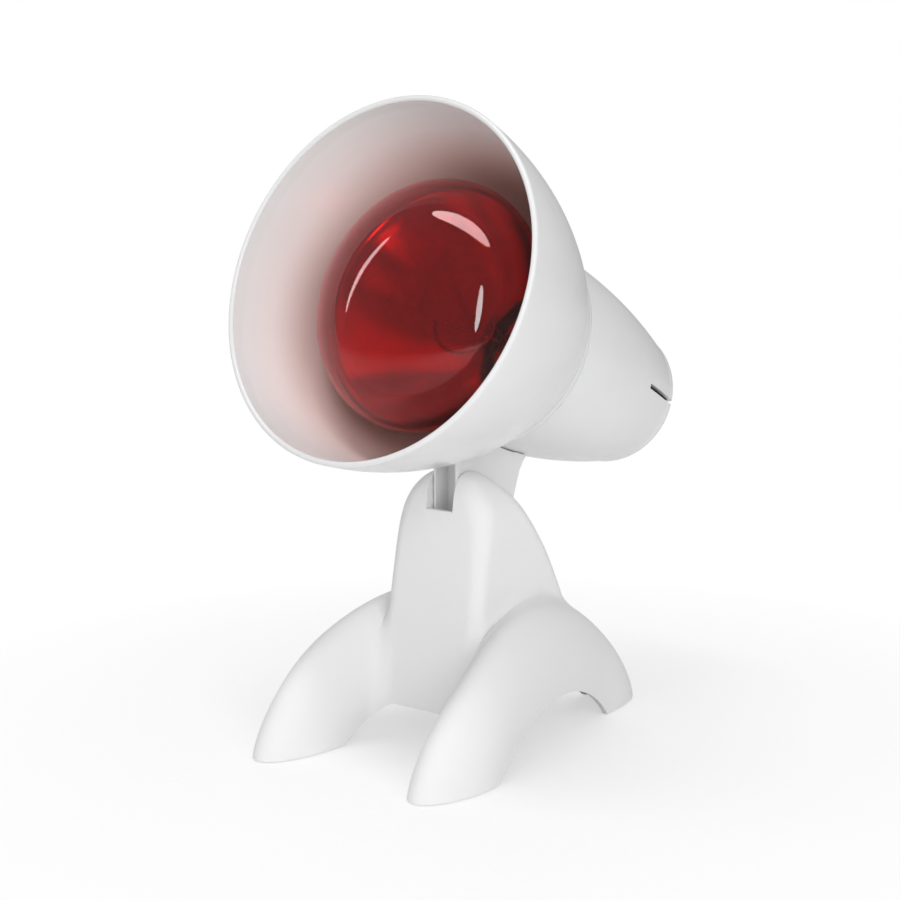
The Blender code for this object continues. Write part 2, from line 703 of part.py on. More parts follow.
def make_gland(parts, pivot):
    """A grommet with a groove that grips the housing's wall."""
    groove = GLAND_RADIUS
    flange = GLAND_RADIUS + GLAND_FLANGE
    lip = GLAND_FLANGE
    wall = HOUSING_WALL + 2 * SEAT_GAP
    outline = [(GLAND_HOLE_RADIUS, lip), (flange, lip), (flange, 0.0), (groove, 0.0), (groove, -wall),
               (flange, -wall), (flange, -wall - lip), (GLAND_HOLE_RADIUS, -wall - lip)]
    gland = bake(turn("cord_gland", outline, parts, SMALL_STEPS))
    gland.data.transform(Matrix.Rotation(math.pi, 4, "X"))
    gland.data.transform(Matrix.Translation((0.0, 0.0, -SEAT_GAP)))
    return hang(dress(gland, WHITE_RUBBER), pivot, gland_place())


def column_rows():
    """Column sections as (height, front, back, half width, corner round)."""
    rows = []
    for height, front, back, width, corner in smooth_rows(COLUMN_PROFILE_SHARES, COLUMN_RINGS):
        rows.append((COLUMN_BOTTOM + (COLUMN_TOP - COLUMN_BOTTOM) * height, COLUMN_FRONT * front,
                     COLUMN_BACK * back, COLUMN_HALF_WIDTH * width, COLUMN_HALF_WIDTH * corner))
    return rows


def rounded_ring(front, back, half_width, corner, height):
    """A rounded rectangle at one height, from y = -front to y = back."""
    ring = []
    corners = ((half_width - corner, back - corner, 0.0), (-half_width + corner, back - corner, math.pi / 2),
               (-half_width + corner, -front + corner, math.pi), (half_width - corner, -front + corner,
                                                                   3 * math.pi / 2))
    for x, y, start in corners:
        for k in range(CORNER_POINTS):
            angle = start + math.pi / 2 * k / (CORNER_POINTS - 1)
            ring.append((x + corner * math.cos(angle), STAND_SHIFT + y + corner * math.sin(angle), height))
    return ring


def column_solid(name, collection, inset=0.0, drop=0.0):
    """The column's body; an inset one is its hollow, reaching below by a drop."""
    rings = []
    rows = column_rows()
    if drop:
        first = rows[0]
        rows.insert(0, (first[0] - drop, *first[1:]))
    for height, front, back, half_width, corner in rows:
        if height > COLUMN_TOP - inset:
            break
        rings.append(rounded_ring(front - inset, back - inset, half_width - inset,
                                  max(corner - inset, inset * INNER_CORNER_SHARE), height))
    return loft(name, rings, collection)


def arch_point(angle, reach, height, curve_shares):
    """A point (y, z) on a half ellipse from the front foot to the rear one, drawn in or out by its powers."""
    across = math.cos(angle)
    up = abs(math.sin(angle))
    along_power, up_power = curve_shares
    return Vector((-reach * math.copysign(abs(across) ** along_power, across), height * up ** up_power))


def leg_centre(y):
    """How far a leg's middle line stands from the middle of the stand; the legs converge to the back."""
    share = min(max((y + LEG_TURN_REACH) / (2 * LEG_TURN_REACH), 0.0), 1.0)
    return LEG_FRONT_SPREAD + (LEG_REAR_SPREAD - LEG_FRONT_SPREAD) * share


def edge_point(angle, reach, lower=0.0):
    """A point (y, z) on a leg's lower edge, which leans up to the rear."""
    edge = arch_point(angle, reach - lower, ARCH_EDGE_HEIGHT - lower, EDGE_CURVE_SHARES)
    edge.y *= 1 - EDGE_LEAN_SHARE * math.cos(angle)
    return edge


def leg_rings(side, inset, ends, lower):
    """U-shaped sections along the arch: outer crown, widest line and bottom edge are three half ellipses."""
    rings = []
    for k in range(LEG_STEPS + 1):
        angle = math.pi * k / LEG_STEPS
        crown = arch_point(angle, ARCH_OUTER_REACH - inset, ARCH_OUTER_HEIGHT - inset, CROWN_CURVE_SHARES)
        middle = arch_point(angle, ARCH_MIDDLE_REACH, ARCH_MIDDLE_HEIGHT, MIDDLE_CURVE_SHARES)
        edge = edge_point(angle, ARCH_EDGE_REACH, lower)
        half_width = LEG_HALF_WIDTH - inset
        section = []
        for j in range(LEG_SECTION_POINTS + 1):
            turn_angle = math.pi * j / LEG_SECTION_POINTS
            place = middle + (crown - middle) * math.sin(turn_angle)
            section.append((half_width * math.cos(turn_angle), place))
        section = [(half_width, edge)] + section + [(-half_width, edge)]
        ring = []
        for x, place in section:
            ring.append((side * (leg_centre(place.x) + x), STAND_SHIFT + place.x, place.y))
        rings.append(ring)
    first = [(x, y, z - ends) for x, y, z in rings[0]]
    final = [(x, y, z - ends) for x, y, z in rings[-1]]
    return [first] + rings + [final]


def leg_solid(name, side, collection, inset=0.0, lower=0.0):
    return loft(name, leg_rings(side, inset, CUT_OVERRUN, lower), collection)


def inner_arch_solid(side, collection):
    """The part of the opening under a leg that only its inner wall gives way to, made solid."""
    step = (math.pi - INNER_ARCH_START) / (INNER_ARCH_POINTS - 1)
    arch = [edge_point(INNER_ARCH_START + step * k, INNER_ARCH_REACH) for k in range(INNER_ARCH_POINTS)]
    below = -CUT_OVERRUN * 2
    outline = [(place.x, place.y) for place in arch] + [(arch[-1].x, below), (arch[0].x, below)]
    span = (LEG_REAR_SPREAD - LEG_HALF_WIDTH - CUT_OVERRUN, LEG_REAR_SPREAD + INNER_ARCH_PAST_CENTRE)
    rings = [[(side * x, STAND_SHIFT + y, z) for y, z in outline] for x in span]
    return loft("inner_arch", rings, collection)


def pad_places():
    """Centres of the four foot pads on the table."""
    places = []
    for y in (-PAD_REACH, PAD_REACH):
        for side in (-1, 1):
            places.append(Vector((side * leg_centre(y), STAND_SHIFT + y, 0.0)))
    return places


def post_places():
    """Centres of the four screw posts of the base cover."""
    front = COLUMN_FRONT - WALL - POST_INSET
    back = COLUMN_BACK - WALL - POST_INSET
    x = COLUMN_HALF_WIDTH * POST_SIDE_SHARE
    return [(side * x, STAND_SHIFT + y) for y in (-front, back) for side in (-1, 1)]


def make_stand(parts, tools):
    """One moulding: a hollow column with two ears, and two arched legs that are open below."""
    reach = ARCH_OUTER_REACH * 2
    stand = column_solid("stand", parts)
    legs = [leg_solid("leg_outside", side, tools) for side in (-1, 1)]
    for leg in legs:
        combine(stand, leg, "UNION")
    stand = bake(stand)
    hollow = column_solid("column_hollow", tools, inset=WALL, drop=CUT_OVERRUN)
    # The pocket's own walls, the bolt's well and the cover's posts stay standing in the hollow
    pocket_low = PIVOT_HEIGHT - POCKET_RADIUS - CHEEK_WALL
    kept = [box("pocket_block", (-CHEEK_OUTER, STAND_SHIFT - COLUMN_FRONT, pocket_low),
                (CHEEK_OUTER, STAND_SHIFT + reach, COLUMN_TOP + CUT_OVERRUN), tools)]
    well = rod("well_block", BOLT_WELL_RADIUS + BOLT_WELL_WALL, PIVOT - Vector((COLUMN_HALF_WIDTH, 0, 0)),
               PIVOT, tools)
    kept.append(well)
    seat = COLUMN_BOTTOM + COVER_RISE + COVER_THICKNESS + SEAT_GAP
    for k, (x, y) in enumerate(post_places()):
        kept.append(rod("post_block", POST_RADIUS, (x, y, seat), (x, y, seat + POST_HEIGHT), tools))
    for block in kept:
        combine(hollow, block, "DIFFERENCE")
    hollow = bake(hollow)
    column = column_solid("column_outside", tools)
    kept.append(column)
    leg_hollows = [leg_solid("leg_hollow", side, tools, inset=WALL, lower=CUT_OVERRUN) for side in (-1, 1)]
    # Only the toes have a floor, for the pads
    soles = [box("rear_sole", (-reach, STAND_SHIFT + SOLE_START, -CUT_OVERRUN * 2),
                 (reach, reach, SOLE_THICKNESS), tools),
             box("front_sole", (-reach, -reach, -CUT_OVERRUN * 2),
                 (reach, STAND_SHIFT - SOLE_START, SOLE_THICKNESS), tools)]
    inner_arches = [inner_arch_solid(side, tools) for side in (-1, 1)]
    kept += soles
    for hollow_leg, inner_arch in zip(leg_hollows, inner_arches):
        for solid in (*soles, column):
            combine(hollow_leg, solid, "DIFFERENCE")
        combine(inner_arch, column, "DIFFERENCE")
    leg_cuts = [bake(cut) for cut in (*leg_hollows, *inner_arches)]
    slot = box("neck_slot", (-SLOT_HALF_WIDTH, STAND_SHIFT - COLUMN_FRONT - CUT_OVERRUN, FRONT_LIP_HEIGHT),
               (SLOT_HALF_WIDTH, STAND_SHIFT + reach, COLUMN_TOP + CUT_OVERRUN), tools)
    slot_floor = PIVOT_HEIGHT - POCKET_RADIUS
    rear_slot = box("neck_slot_rear", (-SLOT_HALF_WIDTH, PIVOT.y + SLOT_CLEARANCE, slot_floor),
                    (SLOT_HALF_WIDTH, STAND_SHIFT + reach, FRONT_LIP_HEIGHT + CUT_OVERRUN), tools)
    pocket = rod("neck_pocket", POCKET_RADIUS, PIVOT - Vector((SLOT_HALF_WIDTH, 0, 0)),
                 PIVOT + Vector((SLOT_HALF_WIDTH, 0, 0)), tools, FINE_STEPS)
    under = box("under_table", (-reach, -reach, -CUT_OVERRUN * 2), (reach, reach, FOOT_PAD_PROUD), tools)
    well_bore = rod("well_bore", BOLT_WELL_RADIUS, PIVOT - Vector((reach, 0, 0)),
                    PIVOT - Vector((CHEEK_OUTER, 0, 0)), tools)
    bore_reach = Vector((CHEEK_OUTER + CUT_OVERRUN / 2, 0, 0))
    bolt_bore = rod("bolt_bore", BOLT_RADIUS + BOLT_CLEARANCE, PIVOT - bore_reach, PIVOT + bore_reach, tools)
    below = Vector((0, 0, CUT_OVERRUN))
    pad_seat = Vector((0, 0, FOOT_PAD_PROUD + PAD_SEAT_DEPTH))
    pad_bores = [rod("pad_bore", PAD_RADIUS + SEAT_GAP, place - below, place + pad_seat, tools)
                 for place in pad_places()]
    post_top = seat + POST_HEIGHT - POST_RADIUS
    post_bores = [rod("post_bore", COVER_SCREW_RADIUS + SEAT_GAP, (x, y, seat - CUT_OVERRUN),
                      (x, y, post_top), tools, TINY_STEPS) for x, y in post_places()]
    washer_room = NECK_HALF_WIDTH + FRICTION_WASHER_THICKNESS + 2 * SEAT_GAP
    seats = [rod("washer_seat", FRICTION_WASHER_RADIUS + SEAT_GAP, PIVOT,
                 PIVOT + Vector((side * washer_room, 0, 0)), tools, MEDIUM_STEPS) for side in (-1, 1)]
    cuts = [hollow, *leg_cuts, slot, rear_slot, pocket, under, well_bore, bolt_bore, *seats, *pad_bores,
            *post_bores]
    for cut in cuts:
        combine(stand, cut, "DIFFERENCE")
    stand = bake(stand)
    for tool in (*legs, *kept, *cuts):
        cutter(tool)
    return dress(stand, WHITE_PLASTIC)


def make_pads(parts):
    """Four rubber feet pressed into the toes."""
    for k, place in enumerate(pad_places()):
        top = place + Vector((0, 0, FOOT_PAD_PROUD + PAD_SEAT_DEPTH - SEAT_GAP))
        dress(rod("foot_pad_%d" % (k + 1), PAD_RADIUS, place, top, parts), RUBBER)


def make_base_cover(parts, tools):
    """The plate under the column, held by four screws."""
    inset = WALL + COVER_CLEARANCE
    low = COLUMN_BOTTOM + COVER_RISE
    corner = COLUMN_HALF_WIDTH * COLUMN_PROFILE_SHARES[0][4]
    half_width = COLUMN_HALF_WIDTH * COLUMN_PROFILE_SHARES[1][3]
    back = COLUMN_BACK * COLUMN_PROFILE_SHARES[1][2]
    front = COLUMN_FRONT * COLUMN_PROFILE_SHARES[1][1]
    rings = [rounded_ring(front - inset, back - inset, half_width - inset, corner - WALL, height)
             for height in (low, low + COVER_THICKNESS)]
    cover = loft("base_cover", rings, parts)
    holes = [rod("cover_hole", COVER_SCREW_RADIUS + SEAT_GAP, (x, y, low - CUT_OVERRUN),
                 (x, y, low + CUT_OVERRUN), tools, TINY_STEPS) for x, y in post_places()]
    for hole in holes:
        combine(cover, hole, "DIFFERENCE")
    cover = bake(cover)
    for hole in holes:
        cutter(hole)
    dress(cover, WHITE_PLASTIC)
    for k, (x, y) in enumerate(post_places()):
        dress(screw_solid("cover_screw_%d" % (k + 1), (x, y, low - SEAT_GAP), (0, 0, 1), COVER_SCREW_RADIUS,
                          COVER_SCREW_LENGTH, parts), STEEL)


def screw_solid(name, seat, direction, radius, length, collection, head_radius=SCREW_HEAD_RADIUS,
                head_height=SCREW_HEAD_HEIGHT, steps=TINY_STEPS):
    """A pan-head screw: its head sits outside the seat and its shank runs along the direction."""
    outline = [(0.0, head_height), (head_radius * HEAD_CROWN_SHARE, head_height),
               (head_radius, head_height * HEAD_EDGE_SHARE), (head_radius, 0.0), (radius, 0.0),
               (radius, -length + radius), (radius * SCREW_TIP_SHARE, -length), (0.0, -length)]
    screw = bake(turn(name, outline, collection, steps, closed=False))
    aim = Vector(direction).normalized().to_track_quat("-Z", "Y").to_matrix().to_4x4()
    screw.data.transform(Matrix.Translation(Vector(seat)) @ aim)
    return screw


def make_hinge(parts, tools):
    """The tilt bolt, its washers and its nut, and a friction washer in each ear."""
    left = -CHEEK_OUTER
    spring_start = left - SEAT_GAP
    head_seat = spring_start - SPRING_WASHER_THICKNESS - SEAT_GAP
    washer_start = CHEEK_OUTER + SEAT_GAP
    nut_start = washer_start + WASHER_THICKNESS + SEAT_GAP
    nut_end = nut_start + NUT_HEIGHT
    bolt = screw_solid("pivot_bolt", (head_seat, PIVOT.y, PIVOT.z), (1, 0, 0), BOLT_RADIUS,
                       nut_end - head_seat, parts, BOLT_HEAD_RADIUS, BOLT_HEAD_HEIGHT, SMALL_STEPS)
    dress(bolt, STEEL)
    hole = BOLT_RADIUS + BOLT_CLEARANCE
    for name, start, thickness, radius, steps in (
            ("spring_washer", spring_start, -SPRING_WASHER_THICKNESS, WASHER_RADIUS, SMALL_STEPS),
            ("pivot_washer", washer_start, WASHER_THICKNESS, WASHER_RADIUS, SMALL_STEPS),
            ("friction_washer_left", -NECK_HALF_WIDTH - SEAT_GAP, -FRICTION_WASHER_THICKNESS,
             FRICTION_WASHER_RADIUS, MEDIUM_STEPS),
            ("friction_washer_right", NECK_HALF_WIDTH + SEAT_GAP, FRICTION_WASHER_THICKNESS,
             FRICTION_WASHER_RADIUS, MEDIUM_STEPS)):
        ring_half = abs(thickness) / 2
        outline = [(radius, ring_half), (radius, -ring_half), (hole, -ring_half), (hole, ring_half)]
        ring = bake(turn(name, outline, parts, steps))
        ring.data.transform(Matrix.Rotation(math.pi / 2, 4, "Y"))
        ring.data.transform(Matrix.Translation((start + thickness / 2, PIVOT.y, PIVOT.z)))
        dress(ring, NYLON if name.startswith("friction") else STEEL)
    nut = rod("pivot_nut", NUT_RADIUS, (nut_start, PIVOT.y, PIVOT.z), (nut_end, PIVOT.y, PIVOT.z), parts, 6)
    thread = rod("nut_thread", hole, (washer_start, PIVOT.y, PIVOT.z),
                 (nut_end + CUT_OVERRUN, PIVOT.y, PIVOT.z), tools)
    combine(nut, thread, "DIFFERENCE")
    nut = bake(nut)
    cutter(thread)
    dress(nut, STEEL)


def bulb_outline(inset=0.0):
    """Outside of the glass as (radius, z) from the apex back to the neck."""
    points = []
    for k in range(DOME_POINTS):
        angle = math.pi / 2 * (1 - k / (DOME_POINTS - 1))
        points.append(((BULB_RADIUS - inset) * math.cos(angle),
                       -BULB_WIDEST + (BULB_DOME_HEIGHT - inset) * math.sin(angle)))
    points[0] = (0.0, points[0][1])
    back = BULB_LENGTH - BULB_DOME_HEIGHT
    for length, width in BULB_BACK_SHARES[1:]:
        radius = BULB_NECK_RADIUS + (BULB_RADIUS - BULB_NECK_RADIUS) * width - inset
        points.append((radius, -BULB_WIDEST - back * length))
    return points


def make_bulb(parts, tools, pivot):
    place = (0.0, AXIS_RISE, RIM_AHEAD)
    seal_end = -BULB_NECK_END - BULB_SEAL_LENGTH
    outer = bulb_outline() + [(BULB_SEAL_RADIUS, -BULB_NECK_END), (BULB_SEAL_RADIUS, seal_end)]
    inner = [(BULB_SEAL_RADIUS - BULB_GLASS, seal_end),
             (BULB_SEAL_RADIUS - BULB_GLASS, -BULB_NECK_END + BULB_GLASS)]
    inner += [(BULB_NECK_RADIUS - BULB_GLASS, -BULB_NECK_END + BULB_GLASS)]
    inner += list(reversed(bulb_outline(BULB_GLASS)[:-1]))
    glass = bake(turn("bulb_glass", outer + inner, parts, BULB_STEPS, closed=False))
    hang(dress(glass, RED_GLASS), pivot, place)
    # The mirror coat lines the back of the glass from just behind the widest circle
    near = BULB_GLASS + SEAT_GAP
    skin = bulb_outline(near)[DOME_POINTS:-1]
    lining = bulb_outline(near + MIRROR_THICKNESS)[DOME_POINTS:-1]
    mirror = bake(turn("bulb_mirror", skin + list(reversed(lining)), parts, BULB_STEPS))
    hang(dress(mirror, MIRROR_COAT), pivot, place)
    cap = [(CAP_RADIUS, -CAP_START)]
    pitch = CAP_LENGTH / (CAP_THREADS * 2 + 1)
    for k in range(CAP_THREADS * 2):
        depth = CAP_THREAD_DEPTH if k % 2 else 0.0
        cap.append((CAP_RADIUS - depth, -CAP_START - pitch * (k + 1)))
    cap.append((CAP_RADIUS - CAP_THREAD_DEPTH, -CAP_END))
    cap_inner = CAP_RADIUS - CAP_THREAD_DEPTH - CAP_WALL
    cap += [(cap_inner, -CAP_END), (cap_inner, -CAP_START)]
    hang(dress(bake(turn("bulb_cap", cap, parts, MEDIUM_STEPS)), NICKEL), pivot, place)
    start = -CAP_END - SEAT_GAP
    bead = [(0.0, start), (cap_inner, start), (CAP_INSULATOR_END_RADIUS, -INSULATOR_END),
            (0.0, -INSULATOR_END)]
    insulator = bake(turn("cap_insulator", bead, parts, SMALL_STEPS, closed=False))
    hang(dress(insulator, BLACK_GLASS), pivot, place)
    tip_start = -INSULATOR_END - SEAT_GAP
    tip = [(0.0, tip_start), (TIP_RADIUS, tip_start),
           (TIP_RADIUS * TIP_CROWN_SHARE, tip_start - TIP_HEIGHT * TIP_EDGE_SHARE), (0.0, -TIP_END)]
    hang(dress(bake(turn("cap_contact", tip, parts, SMALL_STEPS, closed=False)), NICKEL), pivot, place)
    stem_base = seal_end + STEM_SEAT
    stem_top = seal_end + STEM_LENGTH
    stem = [(0.0, stem_top), (STEM_RADIUS, stem_top), (STEM_RADIUS, stem_base + STEM_FLARE_LENGTH),
            (STEM_FLARE_RADIUS, stem_base), (0.0, stem_base)]
    hang(dress(bake(turn("bulb_stem", stem, parts, SMALL_STEPS, closed=False)), CLEAR_GLASS), pivot, place)
    make_filament(parts, pivot, place, stem_top)


def make_filament(parts, pivot, place, stem_top):
    """Two support wires rise from the stem and carry the filament's bow."""
    level = -(BULB_WIDEST + FILAMENT_BEHIND_WIDEST)
    foot = stem_top + SEAT_GAP
    for side, name in ((-1, "support_wire_left"), (1, "support_wire_right")):
        points = [(side * STEM_WIRE_SPREAD, 0.0, foot), (side * STEM_WIRE_SPREAD, 0.0, foot + STEM_WIRE_RISE),
                  (side * FILAMENT_HALF_WIDTH, 0.0, level - SEAT_GAP - FILAMENT_RADIUS)]
        hang(dress(bake(wire(name, points, SUPPORT_WIRE_RADIUS, parts)), NICKEL), pivot, place)
    points = []
    for k in range(FILAMENT_POINTS):
        angle = math.pi * k / (FILAMENT_POINTS - 1)
        points.append(((FILAMENT_HALF_WIDTH + FILAMENT_OVERHANG) * math.cos(angle),
                       -FILAMENT_BOW * math.sin(angle), level))
    hang(dress(bake(wire("filament", points, FILAMENT_RADIUS, parts)), TUNGSTEN), pivot, place)


def make_lampholder(parts, tools, pivot):
    place = (0.0, AXIS_RISE, RIM_AHEAD)
    mouth = -CAP_START
    outline = [(0.0, -HOLDER_FLOOR_FACE), (HOLDER_BORE, -HOLDER_FLOOR_FACE), (HOLDER_BORE, mouth),
               (HOLDER_RADIUS, mouth), (HOLDER_RADIUS, -HOLDER_END), (0.0, -HOLDER_END)]
    body = bake(turn("lampholder_body", outline, parts, MEDIUM_STEPS, closed=False))
    bores = [rod("holder_bore", BRACKET_SCREW_RADIUS + SEAT_GAP, (x, 0.0, -HOLDER_END - CUT_OVERRUN),
                 (x, 0.0, -HOLDER_END + HOLDER_SCREW_LENGTH), tools, TINY_STEPS)
             for x in (-HOLDER_SCREW_SPREAD, HOLDER_SCREW_SPREAD)]
    for bore in bores:
        combine(body, bore, "DIFFERENCE")
    body = bake(body)
    for bore in bores:
        hang(cutter(bore), pivot, place)
    hang(dress(body, CERAMIC), pivot, place)
    inner = CAP_RADIUS + HOLDER_SHELL_GAP
    outer = inner + HOLDER_SHELL_WALL
    shell = [(outer, mouth), (outer, -CAP_END), (inner, -CAP_END), (inner, mouth)]
    hang(dress(bake(turn("lampholder_shell", shell, parts, MEDIUM_STEPS)), BRASS), pivot, place)
    half = TONGUE_WIDTH / 2
    tongue = box("centre_contact", (-half, -TONGUE_LENGTH / 2, -TONGUE_FACE - TONGUE_THICKNESS),
                 (half, TONGUE_LENGTH / 2, -TONGUE_FACE), parts)
    hang(dress(tongue, BRASS), pivot, place)
    make_bracket(parts, tools, pivot, place)
    make_small_screws(parts, pivot, place)
    make_wiring(parts, pivot, place)


def make_bracket(parts, tools, pivot, place):
    """A bent steel strap from the hood's back wall round the lampholder's end."""
    thickness = BRACKET_THICKNESS
    base = -BRACKET_FACE
    foot = -(HOOD_END + SEAT_GAP)
    half = BRACKET_HALF_SPAN
    out = half + BRACKET_FOOT
    outside = [(out, foot), (out, foot - thickness), (half, foot - thickness), (half, base - thickness)]
    inside = [(half - thickness, base), (half - thickness, foot)]
    outline = inside + outside + [(-x, z) for x, z in reversed(inside + outside)]
    strap = plate("holder_bracket", outline, BRACKET_WIDTH / 2, parts)
    strap.rotation_euler = (math.pi / 2, 0.0, 0.0)
    strap = settle(bake(strap))
    foot_hole = half + BRACKET_HOLE_OUT
    holes = []
    for x, level in ((foot_hole, foot), (-foot_hole, foot), (HOLDER_SCREW_SPREAD, base),
                     (-HOLDER_SCREW_SPREAD, base)):
        holes.append(rod("bracket_hole", BRACKET_SCREW_RADIUS + SEAT_GAP, (x, 0.0, level + BRACKET_FOOT),
                         (x, 0.0, level - BRACKET_FOOT), tools, TINY_STEPS))
    for hole in holes:
        combine(strap, hole, "DIFFERENCE")
    strap = bake(strap)
    for hole in holes:
        hang(cutter(hole), pivot, place)
    hang(dress(strap, STEEL), pivot, place)


def make_wiring(parts, pivot, place):
    """Two terminals on the lampholder's back, and the two leads from them to the gland."""
    back = -HOLDER_END - SEAT_GAP
    tail = back - TERMINAL_HEIGHT
    end = -HOUSING_START - HOUSING_LENGTH + SEAT_GAP
    bend = (tail - end) * LEAD_BEND_SHARE
    for side, word in ((1, "upper"), (-1, "lower")):
        y = side * TERMINAL_OFFSET
        terminal = rod("terminal_" + word, TERMINAL_RADIUS, (0, y, back), (0, y, tail), parts)
        hang(dress(terminal, BRASS), pivot, place)
        x = side * LEAD_SPREAD
        points = [(0, y, tail - SEAT_GAP), (x, y - LEAD_SPREAD, tail - bend)]
        points += [(x, -GLAND_DROP + side * LEAD_SPREAD, end + bend + LEAD_SPREAD)] if side > 0 else []
        points += [(x, -GLAND_DROP, end + bend), (x, -GLAND_DROP, end)]
        lead = bake(wire("lead_wire_" + word, points, LEAD_RADIUS, parts, 1))
        hang(dress(lead, BROWN_SLEEVE if side > 0 else BLUE_SLEEVE), pivot, place)


def make_small_screws(parts, pivot, place):
    """Screws of the bracket, the lampholder and the housing."""
    inner = -HOOD_END + HOOD_WALL + SEAT_GAP
    for side, word in ((-1, "left"), (1, "right")):
        x = side * (BRACKET_HALF_SPAN + BRACKET_HOLE_OUT)
        screw = screw_solid("bracket_screw_" + word, (x, 0.0, inner), (0, 0, -1), BRACKET_SCREW_RADIUS,
                            BRACKET_SCREW_LENGTH, parts)
        hang(dress(screw, STEEL), pivot, place)
        x = side * HOLDER_SCREW_SPREAD
        back = -BRACKET_FACE - BRACKET_THICKNESS - SEAT_GAP
        screw = screw_solid("holder_screw_" + word, (x, 0.0, back), (0, 0, 1), BRACKET_SCREW_RADIUS,
                            HOLDER_SCREW_LENGTH, parts)
        hang(dress(screw, STEEL), pivot, place)
    for k, (x, y, _) in enumerate(housing_screw_places()):
        screw = screw_solid("housing_screw_%d" % (k + 1), (x, y - AXIS_RISE, inner), (0, 0, -1),
                            HOUSING_SCREW_RADIUS, HOUSING_SCREW_LENGTH, parts, HOUSING_SCREW_HEAD_RADIUS)
        hang(dress(screw, STEEL), pivot, place)


def main():
    clear_scene()
    parts = new_collection("infrared_lamp")
    tools = new_collection("cutters")
    pivot = bpy.data.objects.new("tilt_axis", None)
    parts.objects.link(pivot)
    pivot.location = PIVOT
    pivot.rotation_euler = (math.pi / 2 - TILT_ANGLE, 0.0, 0.0)
    make_stand(parts, tools)
    make_pads(parts)
    make_base_cover(parts, tools)
    make_hinge(parts, tools)
    make_hood(parts, tools, pivot)
    make_housing(parts, tools, pivot)
    make_gland(parts, pivot)
    make_bulb(parts, tools, pivot)
    make_lampholder(parts, tools, pivot)
    bpy.context.view_layer.update()


main()
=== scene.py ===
# %% [markdown]
# # An infrared heat lamp, dressed for a product picture
#
# The lamp stands on a table: a bell-shaped hood with a deep red reflector bulb, a round housing behind
# it, and a wishbone stand with two arched legs. The engineering solids already have the right sizes,
# but they are faceted. A moulded lamp is smooth, with soft fillets, thin seams and a glossy skin, so
# the large mouldings are rebuilt here as fine meshes over the same sizes. The small hidden pieces keep
# their solids and get real finishes.

# %% Load the solids
import math

import bmesh
import bpy
import numpy as np
from mathutils import Matrix, Vector
from mathutils.bvhtree import BVHTree


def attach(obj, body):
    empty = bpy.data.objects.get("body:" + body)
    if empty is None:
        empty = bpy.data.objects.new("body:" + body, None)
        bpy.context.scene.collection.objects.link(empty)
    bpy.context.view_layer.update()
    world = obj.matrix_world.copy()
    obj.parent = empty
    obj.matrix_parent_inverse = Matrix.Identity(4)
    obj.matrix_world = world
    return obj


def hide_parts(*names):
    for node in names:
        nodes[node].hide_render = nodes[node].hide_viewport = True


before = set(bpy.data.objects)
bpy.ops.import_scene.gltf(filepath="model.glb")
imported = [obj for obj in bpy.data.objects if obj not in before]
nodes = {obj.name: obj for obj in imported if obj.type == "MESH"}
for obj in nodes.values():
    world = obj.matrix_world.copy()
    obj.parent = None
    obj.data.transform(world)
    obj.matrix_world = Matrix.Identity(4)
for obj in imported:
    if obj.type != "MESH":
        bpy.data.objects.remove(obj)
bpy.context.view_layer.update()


def rounded(values):
    """Numbers short enough to print."""
    return [round(value, 4) for value in values]


# %% [markdown]
# ## Where things are
#
# Everything in the head is turned round one axis, the bulb's, which points up by about twenty degrees.
# A head frame saves working out tilted positions one by one: its Z runs out of the hood's mouth, its Y
# is up, and its origin is the tilt bolt. The bulb frame is the same frame moved to the middle of the
# rim. The stand is symmetric about the middle plane, and the middle of its arches lies a little ahead
# of the middle of the whole lamp. The gap is the clearance that neighbouring solids keep.

# %% Frames
gap = 0.0003
stand_shift = -0.01435
tilt = math.radians(20.6)
pivot = Vector((0.0, stand_shift - 0.0030, 0.0900))
rim_ahead, axis_rise = 0.08136, 0.06321
head_frame = Matrix.Translation(pivot) @ Matrix.Rotation(math.pi / 2 - tilt, 4, "X")
rim_shift = Matrix.Translation((0.0, axis_rise, rim_ahead))
bulb_frame = head_frame @ rim_shift
print("rim centre:", rounded(bulb_frame.translation))

# %% [markdown]
# ## From points to a mesh
#
# Each shape starts as a list of points and a list of faces. Faces that point outwards matter here, for
# shading and even more for the cuts, which need to know where the inside is. So closed shapes go
# through one pass that turns all their faces the same way.


# %% Mesh helpers
def new_object(name, vertices, faces):
    mesh = bpy.data.meshes.new(name)
    mesh.from_pydata([tuple(v) for v in vertices], [], faces)
    mesh.validate()
    mesh.update()
    piece = bpy.data.objects.new(name, mesh)
    bpy.context.scene.collection.objects.link(piece)
    return piece


def tidy_normals(piece):
    shape = bmesh.new()
    shape.from_mesh(piece.data)
    bmesh.ops.recalc_face_normals(shape, faces=shape.faces)
    shape.to_mesh(piece.data)
    shape.free()
    return piece


# %% [markdown]
# ## Turned shapes
#
# The hood, the housing, the bulb and every hole are round, so most of the lamp is a profile swept round
# Z. A Screw modifier does that too. A short function gives the same mesh at once and joins the points
# on the axis into one. A peg is the same sweep, laid between two places.


# %% Turned shapes
on_axis = 1e-7


